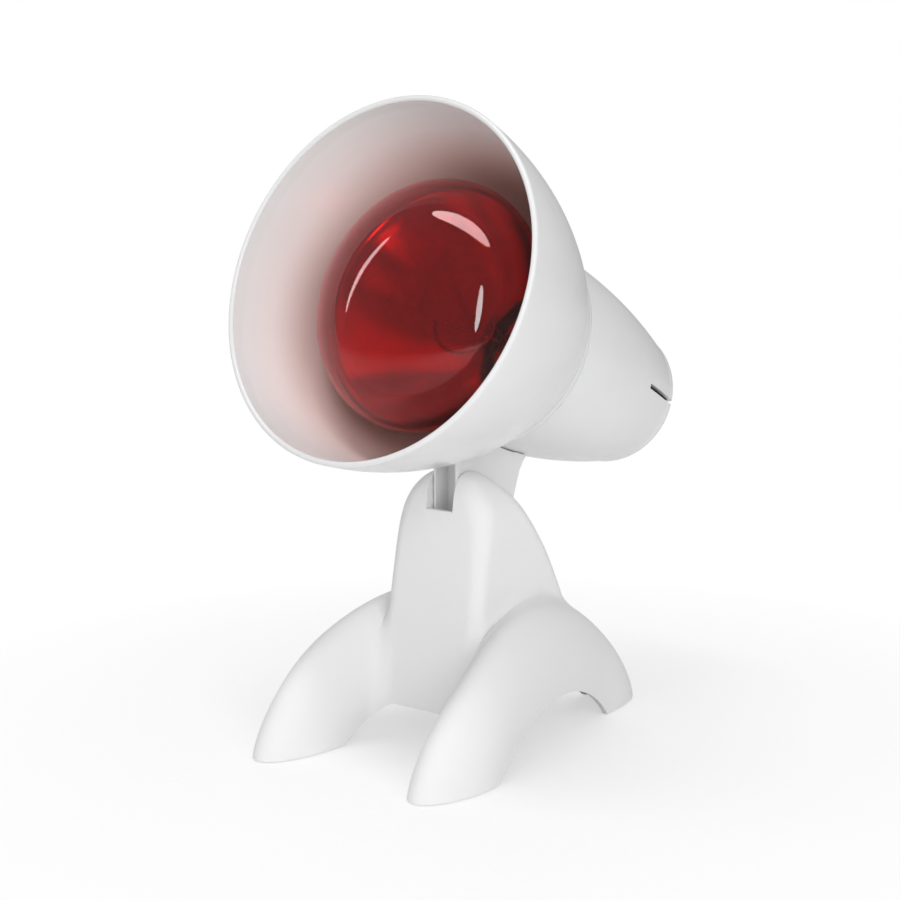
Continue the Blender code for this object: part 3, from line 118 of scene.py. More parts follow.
def turned(name, profile, steps, closed=True):
    """Sweep (radius, z) points round Z. Points on the axis become single vertices."""
    vertices, rows = [], []
    for radius, z in profile:
        if radius < on_axis:
            rows.append([len(vertices)] * steps)
            vertices.append((0.0, 0.0, z))
            continue
        rows.append(list(range(len(vertices), len(vertices) + steps)))
        for k in range(steps):
            angle = math.tau * k / steps
            vertices.append((radius * math.cos(angle), radius * math.sin(angle), z))
    pairs = list(zip(rows, rows[1:]))
    if closed:
        pairs.append((rows[-1], rows[0]))
    faces = []
    for first, second in pairs:
        for k in range(steps):
            j = (k + 1) % steps
            face = [first[k], second[k], second[j], first[j]]
            face = [v for i, v in enumerate(face) if v != face[i - 1]]
            if len(face) > 2:
                faces.append(face)
    return tidy_normals(new_object(name, vertices, faces))


def arc(centre_radius, centre_z, radius, start, end, count):
    """Profile points along a rounded edge, from one angle to another."""
    angles = [start + (end - start) * k / (count - 1) for k in range(count)]
    return [(centre_radius + radius * math.cos(a), centre_z - radius * math.sin(a)) for a in angles]


def peg(name, radius, start, end, steps=48):
    """A round bar from one place to another."""
    start, end = Vector(start), Vector(end)
    aim = (end - start).to_track_quat("Z", "Y").to_matrix().to_4x4()
    length = (end - start).length
    bar = [(0.0, length), (radius, length), (radius, 0.0), (0.0, 0.0)]
    piece = turned(name, bar, steps, closed=False)
    piece.data.transform(Matrix.Translation(start) @ aim)
    return piece


# %% [markdown]
# ## Cutting and joining
#
# Holes, slots and posts are Boolean steps. A modifier could stay live on its object, but a mesh whose
# cuts are kept at once can be measured, cut again and painted face by face. The tools of each cut are
# removed with it, so that no stray block is left in the scene.


# %% Cutting and joining
def block(name, low, high):
    """A box between two corners."""
    low, high = Vector(low), Vector(high)
    corners = [(x, y, z) for z in (low.z, high.z) for y in (low.y, high.y) for x in (low.x, high.x)]
    faces = [(0, 2, 3, 1), (4, 5, 7, 6), (0, 1, 5, 4), (1, 3, 7, 5), (3, 2, 6, 7), (2, 0, 4, 6)]
    return tidy_normals(new_object(name, corners, faces))


def copied(piece, name):
    twin = bpy.data.objects.new(name, piece.data.copy())
    bpy.context.scene.collection.objects.link(twin)
    return twin


def baked(piece):
    """Keep what the modifiers make and drop the modifiers."""
    bpy.context.view_layer.update()
    shaped = piece.evaluated_get(bpy.context.evaluated_depsgraph_get())
    mesh = bpy.data.meshes.new_from_object(shaped)
    piece.modifiers.clear()
    piece.data = mesh
    return piece


def boolean(piece, tools, operation="DIFFERENCE", solver="EXACT"):
    for tool in tools:
        step = piece.modifiers.new("Boolean", "BOOLEAN")
        step.operation, step.solver, step.object = operation, solver, tool
    baked(piece)
    for tool in tools:
        bpy.data.objects.remove(tool)
    return piece


# %% [markdown]
# ## Putting a piece in its place
#
# A finished piece is shaded smooth, except across edges that are really sharp. Then it is set into its
# frame and tied to the body that it moves with, and the solids that it stands for are hidden.


# %% Placing
def smooth_shade(piece, angle=35.0):
    piece.data.shade_smooth()
    piece.data.set_sharp_from_angle(angle=math.radians(angle))
    return piece


def place(piece, body, replaced, matrix=None):
    """Put a finished piece where it belongs and let it move with its body."""
    if matrix is not None:
        piece.data.transform(matrix)
    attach(piece, body)
    if replaced:
        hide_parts(*replaced)
    return piece


# %% [markdown]
# ## Finishes
#
# The lamp's plastic is glossy white polypropylene: almost neutral, with a very slight waviness from the
# mould that breaks up reflections, and patches that are a touch duller. A flat white would look like
# paper. Each finish is built from noise at two or three sizes, mixed into colour, roughness and a fine
# bump, all in the object's own metres.


# %% Building blocks of a finish
def new_finish(name):
    """A material with its node tree, its shader and the object's own coordinates."""
    finish = bpy.data.materials.new(name)
    finish.use_nodes = True
    tree = finish.node_tree
    where = tree.nodes.new("ShaderNodeTexCoord")
    return finish, tree, tree.nodes["Principled BSDF"], where


def noise(tree, where, scale, detail, stretch=None):
    source = where.outputs["Object"]
    if stretch:
        mapping = tree.nodes.new("ShaderNodeMapping")
        mapping.inputs["Scale"].default_value = stretch
        tree.links.new(source, mapping.inputs["Vector"])
        source = mapping.outputs["Vector"]
    texture = tree.nodes.new("ShaderNodeTexNoise")
    texture.inputs["Scale"].default_value = scale
    texture.inputs["Detail"].default_value = detail
    tree.links.new(source, texture.inputs["Vector"])
    return texture.outputs["Fac"]


def ramp(tree, source, stops):
    """Map a value through (position, colour) stops."""
    node = tree.nodes.new("ShaderNodeValToRGB")
    elements = node.color_ramp.elements
    while len(elements) < len(stops):
        elements.new(0.5)
    for element, (position, colour) in zip(elements, stops):
        element.position, element.color = position, (*colour, 1.0)
    tree.links.new(source, node.inputs["Fac"])
    return node.outputs["Color"]


def spread(tree, source, low, high, start=0.3, end=0.7):
    """Stretch the values from start to end over the range from low to high."""
    node = tree.nodes.new("ShaderNodeMapRange")
    for name, value in (("From Min", start), ("From Max", end), ("To Min", low), ("To Max", high)):
        node.inputs[name].default_value = value
    tree.links.new(source, node.inputs["Value"])
    return node.outputs["Result"]


def bump(tree, shader, source, height, before=None):
    """Raise the surface by a pattern, on top of an earlier bump if there is one."""
    node = tree.nodes.new("ShaderNodeBump")
    node.inputs["Distance"].default_value = height
    tree.links.new(source, node.inputs["Height"])
    if before is not None:
        tree.links.new(before, node.inputs["Normal"])
    tree.links.new(node.outputs["Normal"], shader.inputs["Normal"])
    return node.outputs["Normal"]


# %% [markdown]
# ## Moulded, metal and glass finishes
#
# Three kinds of surface cover the whole lamp, so each kind is one function. A moulded surface is patchy
# and faintly wavy, a plated one has brushed lines or a soft mottling, and blown glass has slow ripples.
# A scale is in waves per metre: 28 gives patches of a few centimetres, 1400 a grain under a millimetre.

# %% Kinds of finish
plastic_index, glass_index = 1.49, 1.47


def moulded_finish(name, light, dark, rough=(0.17, 0.25), wave=0.00003, grain=0.000001):
    """A moulded plastic or rubber: patchy colour, patchy gloss, mould waviness and a fine grain."""
    finish, tree, shader, where = new_finish(name)
    patches = noise(tree, where, scale=28.0, detail=4.0)
    tree.links.new(ramp(tree, patches, [(0.30, dark), (0.68, light)]), shader.inputs["Base Color"])
    dull = noise(tree, where, scale=95.0, detail=5.0)
    tree.links.new(spread(tree, dull, *rough), shader.inputs["Roughness"])
    first = bump(tree, shader, noise(tree, where, scale=60.0, detail=1.0), wave)
    bump(tree, shader, noise(tree, where, scale=1400.0, detail=2.0), grain, first)
    shader.inputs["IOR"].default_value = plastic_index
    return finish


def metal_finish(name, light, dark, rough=(0.18, 0.38), lines=None, wave=0.000006):
    """A plated or bare metal: brushed lines or a soft mottling, with duller patches."""
    finish, tree, shader, where = new_finish(name)
    mottling = noise(tree, where, scale=180.0, detail=5.0)
    tree.links.new(ramp(tree, mottling, [(0.32, dark), (0.66, light)]), shader.inputs["Base Color"])
    dull = noise(tree, where, scale=420.0, detail=4.0)
    tree.links.new(spread(tree, dull, *rough), shader.inputs["Roughness"])
    bump(tree, shader, noise(tree, where, scale=900.0, detail=3.0, stretch=lines), wave)
    shader.inputs["Metallic"].default_value = 1.0
    return finish


def glass_finish(name, light, dark, rough, wave, reflection=0.5):
    """Clear or stained glass with slow ripples."""
    finish, tree, shader, where = new_finish(name)
    stain = noise(tree, where, scale=35.0, detail=3.0)
    tree.links.new(ramp(tree, stain, [(0.30, dark), (0.70, light)]), shader.inputs["Base Color"])
    dull = noise(tree, where, scale=140.0, detail=4.0)
    tree.links.new(spread(tree, dull, *rough), shader.inputs["Roughness"])
    bump(tree, shader, noise(tree, where, scale=45.0, detail=1.0), wave)
    shader.inputs["Transmission Weight"].default_value = 1.0
    shader.inputs["IOR"].default_value = glass_index
    shader.inputs["Specular IOR Level"].default_value = reflection
    return finish


# %% [markdown]
# ## The white plastic
# Two whites: the outside, and a lighter copy of it for the inside of the hood, which is painted light. The
# extra brightness stands for light falling into the mouth, and the inside's pink is a painted glow for the
# red light that the bulb throws back onto the bell. The glow grows with the depth behind the rim, measured
# along the bulb's axis, so it follows the bell and fades out towards the lip. It multiplies the patchy
# white that every moulding has.

# %% White plastic
white_shell = moulded_finish("white_shell", (0.775, 0.775, 0.78), (0.745, 0.745, 0.745))
# Painted glow: full at this depth behind the rim, gone near the lip.
painted_glow_depth, plain_depth = -0.052, -0.004
painted_glow_stops = [(0.0, (0.93, 0.915, 0.91)), (0.35, (0.99, 0.88, 0.86)), (0.75, (1.0, 0.70, 0.65)),
              (1.0, (0.97, 0.58, 0.52))]
colour_a, colour_b, colour_result = 6, 7, 2


def painted_glow_finish(name):
    """A lighter copy of the white with a painted pink glow from the bulb, growing with depth behind the
    hood's rim.
    """
    # Painted brightness: the inside white is lighter than the outside white of the same moulding.
    finish = moulded_finish(name, (0.95, 0.95, 0.95), (0.93, 0.93, 0.93))
    tree = finish.node_tree
    base = tree.nodes["Principled BSDF"].inputs["Base Color"]
    patches = base.links[0].from_socket
    local = tree.nodes.new("ShaderNodeMapping")
    local.vector_type = "TEXTURE"
    local.inputs["Location"].default_value = bulb_frame.translation
    local.inputs["Rotation"].default_value = bulb_frame.to_euler()
    tree.links.new(tree.nodes["Texture Coordinate"].outputs["Object"], local.inputs["Vector"])
    parts = tree.nodes.new("ShaderNodeSeparateXYZ")
    tree.links.new(local.outputs["Vector"], parts.inputs["Vector"])
    # Share of the painted glow: full deep in the bell and nothing at the lip.
    painted_glow_share = spread(tree, parts.outputs["Z"], 1.0, 0.0, painted_glow_depth, plain_depth)
    blend = tree.nodes.new("ShaderNodeMix")
    blend.data_type, blend.blend_type = "RGBA", "MULTIPLY"
    blend.inputs["Factor"].default_value = 1.0
    tree.links.new(patches, blend.inputs[colour_a])
    tree.links.new(ramp(tree, painted_glow_share, painted_glow_stops), blend.inputs[colour_b])
    tree.links.new(blend.outputs[colour_result], base)
    return finish


# The hood's inside: a lighter white with a painted pink glow from the bulb.
inside_white_painted_glow = painted_glow_finish("inside_white_painted_glow")
white_cover = moulded_finish("white_cover", (0.76, 0.76, 0.76), (0.73, 0.73, 0.73), rough=(0.30, 0.40))
print("whites:", white_shell.name, inside_white_painted_glow.name, white_cover.name)

# %% [markdown]
# ## Finishes of the small pieces
#
# Rubber pads, nylon washers, a porcelain lampholder with brass inside, two coloured lead wires, zinc
# screws and a nickel cap. Most of them are hidden, but they show through the slots and from below.

# %% Rubber, nylon, porcelain and sleeves
rubber = moulded_finish("black_rubber", (0.055, 0.054, 0.052), (0.035, 0.035, 0.036),
                        rough=(0.65, 0.85), wave=0.00002, grain=0.00002)
pale_rubber = moulded_finish("white_rubber", (0.74, 0.74, 0.73), (0.66, 0.66, 0.65), rough=(0.5, 0.7))
nylon = moulded_finish("nylon", (0.85, 0.83, 0.78), (0.78, 0.76, 0.71), rough=(0.4, 0.55))
porcelain = moulded_finish("porcelain", (0.80, 0.78, 0.73), (0.72, 0.70, 0.65),
                           rough=(0.3, 0.5), wave=0.00006)
black_glass = moulded_finish("black_glass", (0.04, 0.04, 0.05), (0.02, 0.02, 0.03), rough=(0.12, 0.25))
brown_sleeve = moulded_finish("brown_sleeve", (0.18, 0.08, 0.04), (0.12, 0.05, 0.02), rough=(0.4, 0.55))
blue_sleeve = moulded_finish("blue_sleeve", (0.04, 0.12, 0.46), (0.02, 0.08, 0.36), rough=(0.4, 0.55))
print("sleeves:", brown_sleeve.name, blue_sleeve.name)

# %% Metals and glass
steel = metal_finish("zinc_steel", (0.66, 0.67, 0.70), (0.48, 0.48, 0.50))
nickel = metal_finish("nickel", (0.74, 0.72, 0.67), (0.60, 0.57, 0.52), lines=(1.0, 1.0, 8.0))
brass = metal_finish("brass", (0.82, 0.62, 0.30), (0.60, 0.42, 0.18))
tungsten = metal_finish("tungsten", (0.56, 0.56, 0.58), (0.42, 0.42, 0.44), rough=(0.4, 0.6))
mirror_coat = metal_finish("mirror_coat", (0.93, 0.91, 0.89), (0.86, 0.83, 0.80),
                           rough=(0.10, 0.17), wave=0.00002)
red_glass = glass_finish("red_glass", (0.76, 0.014, 0.030), (0.60, 0.009, 0.020),
                         rough=(0.010, 0.035), wave=0.00010, reflection=0.35)
clear_glass = glass_finish("clear_glass", (0.90, 0.92, 0.92), (0.84, 0.87, 0.87),
                           rough=(0.01, 0.03), wave=0.00008)
print("materials, the solids' own included:", len(bpy.data.materials))

# %% [markdown]
# ## The hood
#
# The hood is one moulding: a bell that closes in faster towards the back, a rounded shoulder, a flat
# back wall with an opening for the bulb's neck, and a rolled lip. It is turned from a fine profile. Its
# outside radius is the same curve as the solid's, only sampled finely enough for a clean reflection.

# %% Hood profile
mouth_radius, back_radius = 0.0680, 0.0430
hood_length, hood_straight_share = 0.0744, 0.18
shoulder, hood_wall, lip = 0.0060, 0.0018, 0.0011
opening_radius, opening_chamfer = 0.0280, 0.0004
hood_end = hood_length + shoulder


def bell(depth, front, back, length, straight_share):
    """Radius at one depth of a shell that closes in from front to back, ever faster."""
    share = depth / length
    return front - (front - back) * (straight_share * share + (1 - straight_share) * share * share)


def hood_radius(depth):
    return bell(depth, mouth_radius, back_radius, hood_length, hood_straight_share)


depths = np.linspace(lip, hood_length, 40)
outside = [(hood_radius(d), -d) for d in depths[1:-1]]
inside = [(hood_radius(d) - hood_wall, -d) for d in depths[::-1][1:-2]]
lip_front = arc(mouth_radius - lip, -lip, lip, -math.pi / 2, 0.0, 10)
lip_back = arc(mouth_radius - lip, -lip, lip, -math.pi, -math.pi / 2, 10)
corner = back_radius - shoulder
shoulder_out = arc(corner, -hood_length, shoulder, 0.0, math.pi / 2, 14)
shoulder_in = arc(corner, -hood_length, shoulder - hood_wall, math.pi / 2, 0.0, 10)
opening = [(opening_radius + opening_chamfer, -hood_end),
           (opening_radius, -hood_end + opening_chamfer),
           (opening_radius, -hood_end + hood_wall)]
hood_profile = lip_front + outside + shoulder_out + opening + shoulder_in + inside + lip_back[:-1]
print("hood profile points:", len(hood_profile))

# %% Turn and drill the hood
round_steps = 192
screw_circle, bracket_screw_reach, screw_hole = 0.0345, 0.0320, 0.0018
drill_start, drill_end = -0.0700, -0.0860
screw_angles = [math.radians(angle) for angle in (30, 150, 210, 330)]
housing_screws = [(screw_circle * math.cos(a), screw_circle * math.sin(a)) for a in screw_angles]
bracket_screws = [(-bracket_screw_reach, 0.0), (bracket_screw_reach, 0.0)]
hood = turned("hood_bell", hood_profile, round_steps)
boolean(hood, [peg("hole", screw_hole, (x, y, drill_start), (x, y, drill_end), 20)
               for x, y in housing_screws + bracket_screws])
print("hood vertices:", len(hood.data.vertices))

# %% Two whites on one moulding
hood.data.materials.append(white_shell)
hood.data.materials.append(inside_white_painted_glow)
# Faces inside the bell get the lighter white with its painted pink glow, and the rest get the plain white.
for face in hood.data.polygons:
    spot = face.center
    middle_radius = hood_radius(-spot.z) - hood_wall / 2
    face.material_index = int(-hood_length < spot.z < -lip and spot.xy.length < middle_radius)
smooth_shade(hood)
place(hood, "head_body", ("hood",), bulb_frame)
print("warm faces:", sum(face.material_index for face in hood.data.polygons))

# %% [markdown]
# ## The neck
#
# The neck hangs under the hood and ends in a round lug on the tilt bolt. It is a channel, open to the
# front, and it grows out of the hood with a soft fillet. A bevel can't follow a seam on a bell, so the
# neck and a slice of the bell are joined, covered with small even faces, and each point slides onto the
# surface where the two bodies run together with a round. Then all that is only bell is cut away again.

# %% Helpers for a flowing union
touching = 1e-5


def prism(name, outline, half_width):
    """A side view of (forward, up) points made solid across the head."""
    count = len(outline)
    vertices = [(x, up, ahead) for x in (-half_width, half_width) for ahead, up in outline]
    faces = [tuple(range(count)), tuple(range(2 * count - 1, count - 1, -1))]
    faces += [(i, (i + 1) % count, (i + 1) % count + count, i + count) for i in range(count)]
    return tidy_normals(new_object(name, vertices, faces))


def even_faces(piece, size):
    """Cover a solid with small even quads."""
    step = piece.modifiers.new("Even faces", "REMESH")
    step.mode, step.voxel_size, step.adaptivity = "VOXEL", size, 0.0
    return baked(piece)


def flow_together(piece, bodies, radius_at, rounds):
    """Slide every vertex onto the surface where the bodies merge with a round, its radius by place."""
    trees = [BVHTree.FromObject(body, bpy.context.evaluated_depsgraph_get()) for body in bodies]
    for _ in range(rounds):
        for vertex in piece.data.vertices:
            depth, pull = 0.0, Vector()
            radius = radius_at(vertex.co)
            for tree in trees:
                near, normal, _, distance = tree.find_nearest(vertex.co, radius * 2)
                if near is None:
                    continue
                away = vertex.co - near
                outside = 1.0 if away.dot(normal) >= 0 else -1.0
                inside = max(radius - outside * distance, 0.0)
                slope = away * (outside / distance) if distance > touching else normal
                depth += inside * inside
                pull += slope * inside
            if depth > 0:
                depth = math.sqrt(depth)
                vertex.co -= pull * ((radius - depth) / depth)
    piece.data.update()
    return piece


# %% Neck outline
lug, neck_half, overrun = 0.0133, 0.0058, 0.004
front_top, lug_points = 0.0340, 48
rear_low = (-0.0206, 0.0040)
rear_edge = [rear_low, (-0.0206, 0.0160), (-0.0210, 0.0190), (-0.0218, 0.0220), (-0.0240, 0.0252),
             (-0.0240, 0.0340)]


def neck_point(rise, ahead):
    """A side-view point of the head, from its height above the bolt and its level distance ahead."""
    return (rise * math.sin(tilt) + ahead * math.cos(tilt), rise * math.cos(tilt) - ahead * math.sin(tilt))


lug_end = math.atan2(rear_low[1], rear_low[0]) + math.acos(lug / math.hypot(*rear_low)) - math.tau
side_view = [neck_point(front_top, lug)]
for k in range(lug_points):
    angle = -tilt + (lug_end + tilt) * k / (lug_points - 1)
    side_view.append((lug * math.cos(angle), lug * math.sin(angle)))
neck_body = prism("neck_body", side_view + rear_edge, neck_half)
print("neck outline points:", len(side_view + rear_edge))

# %% Room for the housing behind the neck
housing_start, housing_length, end_round, housing_wall = 0.0807, 0.0893, 0.0090, 0.0020
housing_front, housing_rear, housing_straight_share = 0.0402, 0.0284, 0.13
taper_length = housing_length - end_round
room_start, room_end = 0.0806, 0.150


def housing_radius(depth):
    return bell(depth - housing_start, housing_front, housing_rear, taper_length, housing_straight_share)


room_profile = [(0.0, -room_start)]
room_profile += [(housing_radius(d) + gap, -d) for d in np.linspace(room_start, room_end, 30)]
room_profile += [(0.0, -room_end)]
housing_room = turned("housing_room", room_profile, round_steps, closed=False)
housing_room.data.transform(rim_shift)
boolean(neck_body, [housing_room])
print("neck vertices after the housing's cut:", len(neck_body.data.vertices))

# %% Flow the neck into the bell
neck_fillet, neck_grid, neck_rounds = 0.0040, 0.0007, 3
skin_inset = 0.00002
slice_low, slice_high = (-0.024, 0.006, -0.030), (0.024, 0.034, 0.045)
solid_bell = [(0.0, 0.0)]
solid_bell += [(hood_radius(d) - skin_inset, -d) for d in np.linspace(0.0, hood_length, 60)]
solid_bell += [(radius - skin_inset, z) for radius, z in shoulder_out[1:]]
solid_bell += [(0.0, -hood_end)]
bell_body = turned("bell_body", solid_bell, round_steps, closed=False)
bell_body.data.transform(rim_shift)
slice_box = block("slice", slice_low, slice_high)
bell_slice = boolean(copied(bell_body, "bell_slice"), [slice_box], "INTERSECT")
neck = boolean(copied(neck_body, "hood_neck"), [bell_slice], "UNION")
even_faces(neck, neck_grid)
flow_together(neck, [bell_body, neck_body], lambda spot: neck_fillet, neck_rounds)
print("neck vertices:", len(neck.data.vertices))

# %% Trim the neck back to its fillet and cut its channel
fillet_reach, bolt_hole, bore_reach = 0.0052, 0.0028, 0.01
channel_low, channel_high, channel_depth, neck_wall = -0.0090, 0.0187, 0.0075, 0.0012
shape = bmesh.new()
shape.from_mesh(neck.data)
neck_tree = BVHTree.FromObject(neck_body, bpy.context.evaluated_depsgraph_get())
far = [v for v in shape.verts if neck_tree.find_nearest(v.co)[3] > fillet_reach]
bmesh.ops.delete(shape, geom=far, context="VERTS")
shape.to_mesh(neck.data)
shape.free()
channel_back, channel_front = lug - channel_depth, lug + overrun
channel_view = [neck_point(channel_low, channel_back), neck_point(channel_low, channel_front),
                neck_point(channel_high, channel_front), neck_point(channel_high, channel_back)]
channel = prism("channel", channel_view, neck_half - neck_wall)
bore = peg("bore", bolt_hole, (-bore_reach, 0.0, 0.0), (bore_reach, 0.0, 0.0))
boolean(neck, [channel, bore])
neck.data.materials.append(white_shell)
smooth_shade(neck, 40.0)
place(neck, "head_body", (), head_frame)
for guide in (bell_body, neck_body):
    bpy.data.objects.remove(guide)
print("neck faces after the trim:", len(neck.data.polygons))

# %% [markdown]
# ## The rear housing
#
# A second turned shell covers the lampholder. It starts just behind the hood's shoulder, tapers to a
# rounded end, and has a thin slot across its end for air, level with the axis on both sides. Four posts
# inside take the screws from the hood. A grommet for the cord sits below the slot, left empty because
# no cord is seen.

# %% Housing profile
edge_chamfer, run_points = 0.0004, 48
runs = [housing_start + taper_length * k / (run_points - 1) for k in range(run_points)]
shell_out = [(housing_radius(d), -d) for d in runs]
shell_in = [(radius - housing_wall, z) for radius, z in reversed(shell_out)]
front_radius, front_z = shell_out[0]
shell_out[:1] = [(front_radius - edge_chamfer, front_z), (front_radius, front_z - edge_chamfer)]
core = housing_rear - end_round
round_out = arc(core, -runs[-1], end_round, 0.0, math.pi / 2, 20)[1:]
round_in = arc(core, -runs[-1], end_round - housing_wall, math.pi / 2, 0.0, 14)[:-1]
tip = -(runs[-1] + end_round)
housing_profile = [(0.0, tip + housing_wall)] + round_in + shell_in + shell_out + round_out + [(0.0, tip)]
housing = turned("rear_shell", housing_profile, round_steps, closed=False)
print("housing profile points:", len(housing_profile))

# %% Posts, air slot and holes
housing_post, housing_post_end, housing_bore_end = 0.0039, 0.0130, 0.0110
air_slot_reach, air_slot_half, air_slot_depth = 0.05, 0.0010, 0.0330
gland_hole, gland_drop = 0.0063, 0.0112
posts = [peg("post", housing_post, (x, y, -housing_start - gap), (x, y, -housing_start - housing_post_end))
         for x, y in housing_screws]
boolean(housing, posts, "UNION")
cuts = [block("slot", (-air_slot_reach, -air_slot_half, tip - overrun),
              (air_slot_reach, air_slot_half, tip + air_slot_depth)),
        peg("gland_hole", gland_hole, (0.0, -gland_drop, tip - overrun), (0.0, -gland_drop, tip + overrun))]
for x, y in housing_screws:
    bore_top, bore_end = -housing_start + overrun, -housing_start - housing_bore_end
    cuts.append(peg("bore", screw_hole, (x, y, bore_top), (x, y, bore_end), 20))
boolean(housing, cuts)
housing.data.materials.append(white_shell)
smooth_shade(housing)
place(housing, "head_body", ("rear_housing",), bulb_frame)
print("housing vertices:", len(housing.data.vertices))

# %% [markdown]
# ## The bulb
#
# A reflector bulb has a low dome in front, its widest circle a third of the way back, and a cone that is
# silvered inside. The glass is stained red right through, so light crosses red glass on its way in and
# again on its way out. That is why it looks so dark where it reflects nothing bright. The shell is
# modelled with its wall, and the silvering sits just inside it. The cone's flowing line is a smooth
# curve through a few widths, given as shares of the way from the widest circle to the neck.

# %% Bulb profile
apex, dome, widest_radius, glass_wall, bulb_length = 0.0057, 0.0272, 0.0475, 0.0009, 0.1040
neck_radius, seal_radius, seal_length = 0.0152, 0.0118, 0.0065
widest, neck_end = apex + dome, apex + bulb_length
dome_points, back_points = 48, 56
back_shares = ((0.00, 1.000), (0.05, 0.980), (0.12, 0.905), (0.22, 0.785), (0.33, 0.640), (0.43, 0.505),
               (0.53, 0.370), (0.63, 0.235), (0.73, 0.110), (0.84, 0.025), (1.00, 0.000))


def flowing(rows, count):
    """Resample rows of numbers by a smooth curve through them."""
    result = []
    for k in range(count):
        spot = k * (len(rows) - 1) / (count - 1)
        i = min(int(spot), len(rows) - 2)
        t = spot - i
        four = (rows[max(i - 1, 0)], rows[i], rows[i + 1], rows[min(i + 2, len(rows) - 1)])
        result.append(tuple(0.5 * (2 * b + (c - a) * t + (2 * a - 5 * b + 4 * c - d) * t ** 2
                                   + (3 * b - a - 3 * c + d) * t ** 3) for a, b, c, d in zip(*four)))
    return result


def bulb_profile(inset):
    """The bulb's line from the middle of the dome to the neck, moved in by an inset."""
    points = []
    for k in range(dome_points):
        angle = math.pi / 2 * (1 - k / (dome_points - 1))
        height = (dome - inset) * math.sin(angle)
        points.append(((widest_radius - inset) * math.cos(angle), -widest + height))
    points[0] = (0.0, points[0][1])
    length = bulb_length - dome
    for along, width in flowing(back_shares, back_points)[1:]:
        radius = neck_radius + (widest_radius - neck_radius) * width - inset
        points.append((radius, -widest - length * along))
    return points


# %% Bulb glass
bulb_steps = 160
seal_end = -neck_end - seal_length
glass_profile = bulb_profile(0.0)
glass_profile += [(seal_radius, -neck_end), (seal_radius, seal_end), (seal_radius - glass_wall, seal_end)]
glass_profile += [(seal_radius - glass_wall, -neck_end + glass_wall),
                  (neck_radius - glass_wall, -neck_end + glass_wall)]
glass_profile += list(reversed(bulb_profile(glass_wall)[:-1]))
glass = turned("red_bulb", glass_profile, bulb_steps, closed=False)
glass.data.materials.append(red_glass)
smooth_shade(glass, 50.0)
place(glass, "head_body", ("bulb_glass",), bulb_frame)
print("glass vertices:", len(glass.data.vertices))

# %% Silvering on the cone
silver_outer, silver_inner = glass_wall + 0.0002, glass_wall + 0.0005
cone = slice(dome_points - 1, -2)
silver_profile = bulb_profile(silver_outer)[cone] + bulb_profile(silver_inner)[cone][::-1]
silvering = turned("silvering", silver_profile, bulb_steps)
silvering.data.materials.append(mirror_coat)
smooth_shade(silvering, 50.0)
place(silvering, "head_body", ("bulb_mirror",), bulb_frame)
print("silvering vertices:", len(silvering.data.vertices))

# %% [markdown]
# ## The column
#
# The column is a rounded box that leans back and closes over in a dome. It is skinned over level rings.
# Each row of shares gives a level, then how much of the foot's front, back and half width is left
# there, and the corner's radius as a share of the half width. The body is made too long below, so that
# the lower edge can be cut cleanly afterwards.

# %% Column
column_shares = ((0.000, 1.000, 1.000, 1.000, 0.224), (0.146, 0.939, 0.924, 0.991, 0.224),
                 (0.324, 0.862, 0.802, 0.974, 0.224), (0.472, 0.801, 0.664, 0.957, 0.233),
                 (0.609, 0.744, 0.515, 0.944, 0.241), (0.700, 0.705, 0.393, 0.940, 0.267),
                 (0.777, 0.673, 0.283, 0.927, 0.302), (0.845, 0.644, 0.184, 0.875, 0.328),
                 (0.901, 0.619, 0.087, 0.763, 0.319), (0.946, 0.577, -0.009, 0.612, 0.276),
                 (0.980, 0.513, -0.101, 0.431, 0.198), (1.000, 0.436, -0.175, 0.233, 0.121))
column_bottom, column_top = 0.0150, 0.1038
column_front, column_back, column_half = 0.0312, 0.0435, 0.0232
wall = 0.0022


def lofted(name, rings):
    """Skin closed rings of equal length and cap both ends."""
    count = len(rings[0])
    vertices = [point for ring in rings for point in ring]
    faces = []
    for r in range(len(rings) - 1):
        for i in range(count):
            j = (i + 1) % count
            faces.append((r * count + i, r * count + j, (r + 1) * count + j, (r + 1) * count + i))
    faces.append(tuple(range(count))[::-1])
    faces.append(tuple(range((len(rings) - 1) * count, len(rings) * count)))
    return tidy_normals(new_object(name, vertices, faces))


def rounded_ring(front, back, half, corner_radius, height, points):
    """A level ring round the column: a rectangle with rounded corners."""
    ring = []
    side, rear, ahead = half - corner_radius, back - corner_radius, corner_radius - front
    corners = ((side, rear), (-side, rear), (-side, ahead), (side, ahead))
    for quarter, (x, y) in enumerate(corners):
        for k in range(points):
            angle = quarter * math.pi / 2 + math.pi / 2 * k / (points - 1)
            ring.append((x + corner_radius * math.cos(angle),
                         stand_shift + y + corner_radius * math.sin(angle), height))
    return ring


def column(name, inset=0.0, drop=0.0, count=90, points=14):
    """The column, or its hollow if it is drawn in by an inset, made longer below by a drop."""
    rings = []
    rows = flowing(column_shares, count)
    rows.insert(0, (-drop / (column_top - column_bottom), *rows[0][1:]))
    for level, front, back, half, corner_share in rows:
        height = column_bottom + (column_top - column_bottom) * level
        half, corner_radius = column_half * half, column_half * corner_share
        if height > column_top - inset:
            break
        rings.append(rounded_ring(column_front * front - inset, column_back * back - inset, half - inset,
                                  max(corner_radius - inset, inset / 4), height, points))
    return lofted(name, rings)


column_body = column("column_body", drop=0.007)
print("column vertices:", len(column_body.data.vertices))

# %% [markdown]
# ## The legs
#
# Each leg is half a tube bent into an arch, open underneath. Seen from the side, its crown and its lower
# edge are two half ellipses, drawn in a little by powers so that they match the photograph. Seen from
# above, the legs draw together to the rear. A ring across the leg runs from one lower edge over the
# crown to the other, and the rings are skinned as the column's are.

